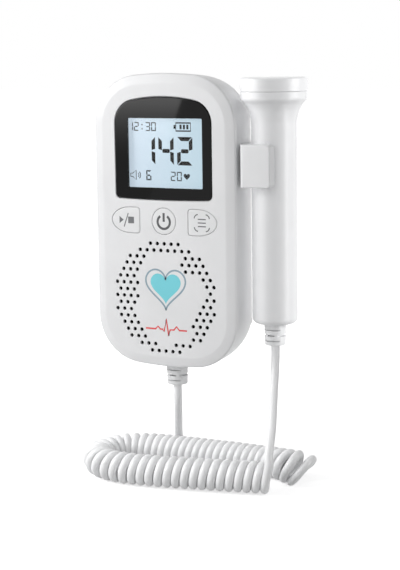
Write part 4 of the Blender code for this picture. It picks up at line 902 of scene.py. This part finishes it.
outline += arc(probe_x, PROBE_H, channel_r, 360, 180, CLIP_STEPS) + [(beyond, PROBE_H - channel_r)]
tall = clip_height / 2 + OVERRUN
clip = loft("clip_hook", [[(x, -h, clip_z + middle_z + z) for x, h in outline] for z in (-tall, tall)])


def clip_view(inset, h):
    left = base_x - BACK_ROLL
    width, height = clip_tip - left - 2 * inset, clip_height - 2 * inset
    return at_height(rounded((clip_tip + left) / 2, clip_z, width, height, CLIP_CORNER_R - inset, 10), h)


rings = [clip_view(0, -OVERRUN)]
rings += [clip_view(inset, h) for inset, h in rolled(CLIP_EDGE, CLIP_EDGE, clip_front, 8)[::-1]]
combine(clip, "INTERSECT", loft("clip_front_view", rings + [clip_view(CLIP_EDGE * 1.5, clip_front)]))
fit(clip, case_white, "unit", "probe_clip")
carry_over(zinc, "clip_screw_upper", "clip_screw_lower")

# Probe: a straight handle that flares into a wide head, moulded in two halves of white ABS that
# meet on a fine parting line. A turned cap closes the head and is the face that goes on the skin.
HEAD_R = 0.01585
HEAD_SIDE_END = 0.0582
NECK_Z = 0.0468
HANDLE_CORNER_R = 0.0030
PROBE_WALL = 0.0018
CAP_EDGE = 0.0009
CAP_FACE_T = 0.0016
CAP_WALL = 0.0014
CAP_SEAM = 0.00008
PARTING = 0.00014
HEAD_EASE = 0.0002
FLARE_LEAD = 0.0030
NECK_LEAD = 0.0060
PROBE_SIDES = 96
RELIEF_NECK_R = 0.0034
FLARE_SHARES = [(1, 0), (0.586, 0.22), (0.28, 0.45), (0.12, 0.67), (0.03, 0.86), (0, 1)]

probe_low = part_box("probe_handle_front")[0].z - middle_z
cap_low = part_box("probe_cap")[0].z - middle_z
probe_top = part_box("probe_cap")[1].z - middle_z
probe_axis = (probe_x, -PROBE_H, middle_z)


def smooth_line(points, before=None, after=None, steps=24):
    """A smooth curve through points, as a dense polyline. It can lead on from a point before and after."""
    points = np.array(points, float)
    before = 2 * points[0] - points[1] if before is None else before
    after = 2 * points[-1] - points[-2] if after is None else after
    points = np.vstack([before, points, after])
    line = []
    for four in zip(points, points[1:], points[2:], points[3:]):
        knots = [0.0]
        for one, two in zip(four, four[1:]):
            knots.append(knots[-1] + math.sqrt(np.linalg.norm(two - one)))
        for t in np.linspace(knots[1], knots[2], steps, endpoint=False):
            mixed = four
            for spans in (((0, 1), (1, 2), (2, 3)), ((0, 2), (1, 3)), ((1, 2),)):
                mixed = [
                    ((knots[j] - t) * one + (t - knots[i]) * two) / (knots[j] - knots[i])
                    for (i, j), one, two in zip(spans, mixed, mixed[1:])
                ]
            line.append(mixed[0])
    line.append(points[-2])
    return np.array(line)


head_top = cap_low - CAP_SEAM
swell, drop = HEAD_R - HANDLE_R, HEAD_SIDE_END - NECK_Z
knots = [(HANDLE_R + r * swell, HEAD_SIDE_END - z * drop) for r, z in FLARE_SHARES]
leads = (HEAD_R, HEAD_SIDE_END + FLARE_LEAD), (HANDLE_R, NECK_Z - NECK_LEAD)
flare = [tuple(p) for p in smooth_line(knots, *leads, 6)]
outside = [(HEAD_R - HEAD_EASE, head_top), (HEAD_R, head_top - HEAD_EASE)]
outside += [(HEAD_R, HEAD_SIDE_END + 3 * HEAD_EASE)] + flare
outside += arc(HANDLE_R - HANDLE_CORNER_R, probe_low + HANDLE_CORNER_R, HANDLE_CORNER_R, 90, 180, 10)
inner, floor, bore = HANDLE_R - PROBE_WALL, probe_low + PROBE_WALL, RELIEF_NECK_R + FIT
inside = [(bore, probe_low), (bore, floor), (inner - HANDLE_CORNER_R / 2, floor)]
inside += [(inner, floor + HANDLE_CORNER_R / 2), (inner, NECK_Z)]
inside += [(r - PROBE_WALL, z) for r, z in flare[1:-1][::-1]]
inside += [(HEAD_R - PROBE_WALL, HEAD_SIDE_END), (HEAD_R - PROBE_WALL, head_top)]
probe_white = moulded("probe_white_abs", CASE_WHITE, 0.32)
handle_halves = []
for name, side in (("front", -1), ("back", 1)):
    half = turned(f"handle_{name}", outside + inside, probe_axis, (0, 0, 1), PROBE_SIDES, closed=True)
    thick = HEAD_R + OVERRUN
    middle = (probe_x, -PROBE_H - side * (thick - PARTING) / 2, middle_z)
    combine(half, "DIFFERENCE", block("parting", middle, (3 * HEAD_R, thick, 2 * (probe_top - probe_low))))
    handle_halves.append(fit(half, probe_white, "probe", f"probe_handle_{name}"))

cap_inner, cap_bore = probe_top - CAP_FACE_T, HEAD_R - CAP_WALL
profile = [(0, probe_top), (HEAD_R - 2 * CAP_EDGE, probe_top)]
profile += arc(HEAD_R - CAP_EDGE, probe_top - CAP_EDGE, CAP_EDGE, 0, 90, 8)
profile += [(HEAD_R, cap_low + HEAD_EASE), (HEAD_R - HEAD_EASE, cap_low), (cap_bore, cap_low)]
cap = turned("cap_face", profile + [(cap_bore, cap_inner), (0, cap_inner)], probe_axis, (0, 0, 1), PROBE_SIDES)
fit(cap, probe_white, "probe", "probe_cap")
carry_over(moulded("crystal_ceramic", (0.66, 0.60, 0.45), 0.45), "crystal_left", "crystal_right")
carry_over(moulded("backing_foam", (0.06, 0.06, 0.065), 0.9, 0.2, 0.00008), "crystal_backing")
carry_over(board_green("probe_board_green"), "probe_board")

# Strain reliefs: soft white vinyl boots moulded on the cord. Each has a flange inside the wall, and
# slots and notches that let it bend.
RELIEF_FLANGE_R = 0.0046
RELIEF_FLANGE_T = 0.0013
RELIEF_TOP_R = 0.0053
RELIEF_END_R = 0.0050
RELIEF_EDGE = 0.0004
SLOT_TALL = 0.0007
SLOT_DEPTH = 0.0020
LONG_SLOT = 0.0088
SHORT_SLOT = 0.0036
NOTCH_TALL = 0.0012
SIDE_NOTCH = 0.0022
SLOT_SHARES = (0.26, 0.52, 0.78)

vinyl_white = moulded("vinyl_white", (0.82, 0.823, 0.83), 0.44)


def boot(name, node, wall_out):
    """A boot from its flange inside the wall down to its tip. Long slots and side notches take turns."""
    low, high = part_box(node)
    x, y, _ = (low + high) / 2
    neck_top = high.z - RELIEF_FLANGE_T
    profile = [(0, high.z), (RELIEF_FLANGE_R, high.z), (RELIEF_FLANGE_R, neck_top), (RELIEF_NECK_R, neck_top)]
    profile += [(RELIEF_NECK_R, wall_out), (RELIEF_TOP_R - RELIEF_EDGE, wall_out)]
    profile += arc(RELIEF_TOP_R - RELIEF_EDGE, wall_out - RELIEF_EDGE, RELIEF_EDGE, 20, 90, 4)
    profile += arc(RELIEF_END_R - RELIEF_EDGE, low.z + RELIEF_EDGE, RELIEF_EDGE, 90, 180, 5) + [(0, low.z)]
    piece = turned(name, profile, (x, y, 0), (0, 0, 1), 64)
    cuts = []
    for share, width in zip(SLOT_SHARES, (LONG_SLOT, SHORT_SLOT, LONG_SLOT)):
        z = wall_out - (wall_out - low.z) * share
        for way in (-1, 1):
            reach = way * (RELIEF_TOP_R + (OVERRUN - SLOT_DEPTH) / 2)
            cuts.append(block("slot", (x, y + reach, z), (width, SLOT_DEPTH + OVERRUN, SLOT_TALL)))
            if width == SHORT_SLOT:
                reach = way * (RELIEF_TOP_R + (OVERRUN - SIDE_NOTCH) / 2)
                size = (SIDE_NOTCH + OVERRUN, 2 * RELIEF_TOP_R, NOTCH_TALL)
                cuts.append(block("notch", (x + reach, y, z), size))
    combine(piece, "DIFFERENCE", *cuts)
    return piece


unit_boot = boot("unit_boot", "unit_strain_relief", case_low.z - FIT)
fit(unit_boot, vinyl_white, "unit", "unit_strain_relief")
probe_boot = boot("probe_boot", "probe_strain_relief", probe_low + middle_z - FIT)
fit(probe_boot, vinyl_white, "probe", "probe_strain_relief")

# Curly cord: white vinyl, 4.2 mm thick, wound and set in curls. It leaves the unit straight down,
# lies in a loop of curls on the floor and rises to the probe. The curls take most of its length.
CORD_R = 0.0021
CURL_R = 0.0055
REAR_PITCH = 0.0038
FRONT_PITCH = 0.0043
BEND_SPREAD = 0.60
CURL_LEAN = 0.0005
LOOSE_REACH = 0.0120
LOOSE_PITCH = 0.0024
LOOSE_SWELL = 0.0009
LOOSE_LEAN = 0.0023
LOOSE_FACING = (-0.98, -0.20)
LAST_RISE = (0.20, 0.03, 0.979)
CURL_POINTS = 28
CORD_SIDES = 16
FLOOR_Z = -0.1243
CORD_STEP = 0.0012
ROUTE_STEP = 0.00025
CURVE_BLUR = 17
UNIT_TAIL_ROUTE = [
    (-0.0008, -0.0198, -0.0925), (-0.0032, -0.0152, -0.1000), (-0.0064, -0.0093, -0.1080),
    (-0.0078, -0.0056, -0.1150), (-0.0058, -0.0056, -0.1202), (0.0030, -0.0053, -0.1221),
    (0.0150, -0.0053, -0.1222), (0.0280, -0.0053, -0.1222),
]
CURL_ENTRY_ROUTE = [
    (0.0400, -0.0053, -0.1222), (0.0436, -0.0053, -0.1222), (0.0510, -0.0053, -0.1222),
    (0.0580, -0.0056, -0.1213), (0.0632, -0.0078, -0.1186), (0.0668, -0.0116, -0.1155),
    (0.0692, -0.0158, -0.1132), (0.0703, -0.0200, -0.1123), (0.0696, -0.0236, -0.1136),
    (0.0677, -0.0261, -0.1162), (0.0652, -0.0271, -0.1195),
]
CURL_MIDDLE_ROUTE = [
    (0.0648, -0.0250), (0.0588, -0.0210), (0.0524, -0.0178), (0.0440, -0.0161), (0.0380, -0.0157),
    (0.0300, -0.0155), (0.0140, -0.0155), (-0.0020, -0.0158), (-0.0140, -0.0166),
    (-0.0240, -0.0194), (-0.0316, -0.0253), (-0.0348, -0.0352), (-0.0322, -0.0450),
    (-0.0250, -0.0516), (-0.0150, -0.0542), (0.0000, -0.0534), (0.0160, -0.0508), (0.0300, -0.0480),
    (0.0440, -0.0448), (0.0575, -0.0416),
]
PROBE_TAIL_ROUTE = [
    (0.0598, -0.0462, -0.1068), (0.0591, -0.0432, -0.1020), (0.0575, -0.0370, -0.0950),
    (0.0550, -0.0298, -0.0865), (0.0525, -0.0230, -0.0785), (0.0508, -0.0178, -0.0700),
]


def even_steps(line, step):
    """The same line with points at an even distance near step."""
    along = np.concatenate([[0], np.cumsum(np.linalg.norm(np.diff(line, axis=0), axis=1))])
    marks = np.linspace(0, along[-1], max(1, round(along[-1] / step)) + 1)
    return np.stack([np.interp(marks, along, line[:, i]) for i in range(line.shape[1])], axis=1)


def curls(points_per_turn):
    """The curly cord's turns round its middle line, from a curl's foot to its front side."""
    line = even_steps(smooth_line(CURL_MIDDLE_ROUTE), ROUTE_STEP)
    steps = np.gradient(line, axis=0)
    lengths = np.linalg.norm(steps, axis=1)
    along = np.concatenate([[0], np.cumsum(lengths[1:])])
    loose = np.exp(-((along / LOOSE_REACH) ** 2))
    facing = steps / lengths[:, None]
    facing += loose[:, None] * (np.array(LOOSE_FACING) - facing)
    heading = np.unwrap(np.arctan2(facing[:, 1], facing[:, 0]))
    bend = np.abs(np.gradient(heading) / lengths)
    padded = np.pad(bend, CURVE_BLUR, mode="edge")
    bend = np.convolve(padded, np.full(2 * CURVE_BLUR + 1, 1 / (2 * CURVE_BLUR + 1)), "valid")
    pitch = np.interp(along / along[-1], (0.40, 0.55), (REAR_PITCH, FRONT_PITCH))
    pitch = pitch / (1 - BEND_SPREAD * CURL_R * bend) + LOOSE_PITCH * loose
    turns = np.concatenate([[0], np.cumsum(lengths[1:] / pitch[1:])])
    total = round(turns[-1] - 0.25) + 0.25
    turns *= total / turns[-1]
    wanted = np.linspace(0, total, round(total * points_per_turn) + 1)
    x, y, heading, loose = (np.interp(wanted, turns, v) for v in (*line.T, heading, loose))
    angle = -math.pi / 2 - 2 * math.pi * wanted
    radius = CURL_R + LOOSE_SWELL * loose
    across = radius * np.cos(angle)
    lean = (CURL_LEAN + LOOSE_LEAN * loose) * np.sin(angle) * np.cos(heading)
    x += lean * np.cos(heading) - across * np.sin(heading)
    y += lean * np.sin(heading) + across * np.cos(heading)
    return np.stack([x, y, FLOOR_Z + CORD_R + radius * (1 + np.sin(angle))], axis=1)


helix = curls(CURL_POINTS)
first_turn = helix[CURL_POINTS // 8]
entry = even_steps(smooth_line(CURL_ENTRY_ROUTE[1:] + [helix[0]], CURL_ENTRY_ROUTE[0], first_turn), CORD_STEP)
boot_low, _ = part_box("unit_strain_relief")
leave = np.array((0, -relief_h, boot_low.z - middle_z))
tail = [leave, leave - (0, 0, 2 * CORD_R), *UNIT_TAIL_ROUTE, CURL_ENTRY_ROUTE[0], CURL_ENTRY_ROUTE[1]]
tail = even_steps(smooth_line(tail, leave + (0, 0, CORD_R)), CORD_STEP)
rise = np.array(LAST_RISE)
arrive = np.array((probe_x, -PROBE_H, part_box("probe_strain_relief")[0].z - middle_z))
riser = [helix[-1], helix[-1] + rise * 4 * CORD_R, *PROBE_TAIL_ROUTE, arrive - (0, 0, 2 * CORD_R), arrive]
riser = even_steps(smooth_line(riser, helix[-1] - rise * CORD_R, arrive + (0, 0, CORD_R)), CORD_STEP)
cord_path = np.vstack([tail[:-1], entry[:-1], helix[:-1], riser]) + (0, 0, middle_z)
cord = smooth(tube("curly_cord", cord_path, CORD_R, CORD_SIDES), 60)
cord.data.materials.append(moulded("cord_vinyl", (0.82, 0.823, 0.83), 0.38))
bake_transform(cord)
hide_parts("cord_tail_unit", "cord_coil", "cord_tail_probe")

# Floor and backdrop: a white studio sweep. The floor keeps the object's soft shadow near it and
# runs out to plain white.
SWEEP = 6.0
SWEEP_MIDDLE = (0.02, -0.03)
FLOOR_GAP = 0.0001
PAPER = 0.77
SHADOW_REACH = 0.15
SHADOW_FADE = 0.09
FLOOR_GLOW = 0.62
AMBIENT = 0.44


def seen_directly(tree):
    """1 for rays that show the backdrop to the camera, in a mirror or through glass, and 0 for light."""
    rays = tree.nodes.new("ShaderNodeLightPath").outputs
    seen = rays["Is Camera Ray"]
    for kind in ("Is Glossy Ray", "Is Transmission Ray"):
        seen = add(tree, "Math", {0: seen, 1: rays[kind]}, operation="MAXIMUM")
    return seen


def glowing(name, strength_of, paper=None):
    """A material that glows with a strength made in its tree. Paper is a grey that also takes light."""
    material, tree, shader = finish(name)
    tree.nodes.remove(shader)
    look = add(tree, "Emission", {"Strength": strength_of(tree)})
    if paper:
        matt = add(tree, "BsdfDiffuse", {"Color": (paper, paper, paper, 1)})
        look = add(tree, "AddShader", {0: matt, 1: look})
    feed(tree, tree.nodes["Material Output"], {"Surface": look})
    return material


def sweep_glow(tree):
    """Lifts the paper to plain white where no shadow falls."""
    reach = add(tree, "VectorMath", {0: add(tree, "TexCoord", out="Object")}, "Value", operation="LENGTH")
    start = (SHADOW_REACH - SHADOW_FADE, SHADOW_REACH)
    fade = span(tree, reach, start, (FLOOR_GLOW, 1), interpolation_type="SMOOTHSTEP")
    return add(tree, "Math", {0: fade, 1: seen_directly(tree)}, operation="MULTIPLY")


bm = bmesh.new()
bmesh.ops.create_grid(bm, x_segments=1, y_segments=1, size=SWEEP)
floor_sheet = solid("studio_floor", bm)
floor_sheet.location = (*SWEEP_MIDDLE, FLOOR_Z + middle_z - FLOOR_GAP)
floor_sheet.data.materials.append(glowing("studio_white", sweep_glow, PAPER))

world = bpy.data.worlds.new("studio")
bpy.context.scene.world = world
world.use_nodes = True
tree = world.node_tree
ambient = tree.nodes["Background"]
feed(tree, ambient, {"Color": (1, 1, 1, 1), "Strength": AMBIENT})
white = add(tree, "Background", {"Color": (1, 1, 1, 1)})
backdrop = add(tree, "MixShader", {"Fac": seen_directly(tree), 1: ambient.outputs[0], 2: white})
feed(tree, tree.nodes["World Output"], {"Surface": backdrop})

# Studio light: a soft lamp close on the left and one further off on the right. Smaller ones reach
# only the probe or the cord, past the case, and give them bright edges. Two white cards show in
# mirrors only: one on the left, whose slanted edge lies across the lens, and one on the right.
AIM = Vector((0.01, -0.02, 0.03))
LAMPS = {
    "left_lamp": ((-0.32, -0.31, 0.22), 0.28, 1.45),
    "right_lamp": ((1.00, 0.25, 0.30), 0.40, 1.3),
    "left_probe_lamp": ((-0.60, -0.10, 0.20), 0.30, 2.0),
    "right_probe_lamp": ((1.00, 0.20, 0.35), 0.50, 6.0),
    "cord_lamp": ((-0.35, -0.45, 0.40), 0.40, 1.6),
}
LAMP_REACH = {
    "left_probe_lamp": (*handle_halves, cap, probe_boot),
    "right_probe_lamp": (*handle_halves, cap, probe_boot),
    "cord_lamp": (cord,),
}
LEFT_CARD_Y = -0.62
LEFT_CARD = [(-0.2783, 0.11865), (-0.3483, -0.06235), (-0.6483, -0.06235), (-0.5783, 0.11865)]
LEFT_GLOW = (5.3, 1)
RIGHT_CARD_X = 0.167
RIGHT_CARD = [(-0.045, -0.087), (-0.008, -0.087), (-0.008, 0.130), (-0.045, 0.130)]
RIGHT_GLOW = (0, 4.5)
CARD_FADE = (0.011, 0.069)
CARD_FADE_POWER = 2.3

for name, (place, size, power) in LAMPS.items():
    lamp = bpy.data.lights.new(name, "AREA")
    lamp.size = size
    lamp.energy = power
    holder = bpy.data.objects.new(name, lamp)
    holder.location = place
    holder.rotation_euler = (AIM - Vector(place)).to_track_quat("-Z", "Y").to_euler()
    bpy.context.scene.collection.objects.link(holder)
    if name in LAMP_REACH:
        lit = bpy.data.collections.new(name)
        for piece in LAMP_REACH[name]:
            lit.objects.link(piece)
        holder.light_linking.receiver_collection = lit
        holder.light_linking.blocker_collection = lit


def card_glow(rise, least):
    """A glow that is brightest at the card's top by the rise and fades downwards to the least."""
    def strength(tree):
        fade = span(tree, place_along(tree, "Z"), CARD_FADE)
        curve = add(tree, "Math", {0: fade, 1: CARD_FADE_POWER}, operation="POWER")
        return add(tree, "Math", {0: curve, 1: rise, 2: least}, operation="MULTIPLY_ADD")
    return strength


left_corners = [(x, LEFT_CARD_Y, z) for x, z in LEFT_CARD]
right_corners = [(RIGHT_CARD_X, y, z) for y, z in RIGHT_CARD]
for name, corners, glow in (("left_card", left_corners, LEFT_GLOW), ("right_card", right_corners, RIGHT_GLOW)):
    bm = bmesh.new()
    bm.faces.new([bm.verts.new(corner) for corner in corners])
    sheet = solid(name, bm)
    sheet.data.materials.append(glowing(name + "_white", card_glow(*glow)))
    sheet.visible_camera = sheet.visible_diffuse = sheet.visible_shadow = sheet.visible_transmission = False

# Camera: a long lens, 27 degrees to the right of the object's front and 9 degrees above it, as the
# photo was taken.
CAMERA_PLACE = (0.3379, -0.6590, 0.1181)
CAMERA_AZIMUTH = math.radians(27)
CAMERA_ELEVATION = math.radians(9)
CAMERA_ROLL = math.radians(-0.8)
LENS_MM = 94.74

turn = Matrix.Rotation(CAMERA_AZIMUTH, 4, "Z") @ Matrix.Rotation(math.pi / 2 - CAMERA_ELEVATION, 4, "X")
turn = turn @ Matrix.Rotation(CAMERA_ROLL, 4, "Z")
camera = bpy.data.objects.new("camera", bpy.data.cameras.new("camera"))
camera.data.lens = LENS_MM
camera.data.sensor_width = 36
camera.matrix_world = Matrix.Translation(CAMERA_PLACE) @ turn
bpy.context.scene.collection.objects.link(camera)
bpy.context.scene.camera = camera

bpy.context.scene.view_settings.view_transform = "Standard"
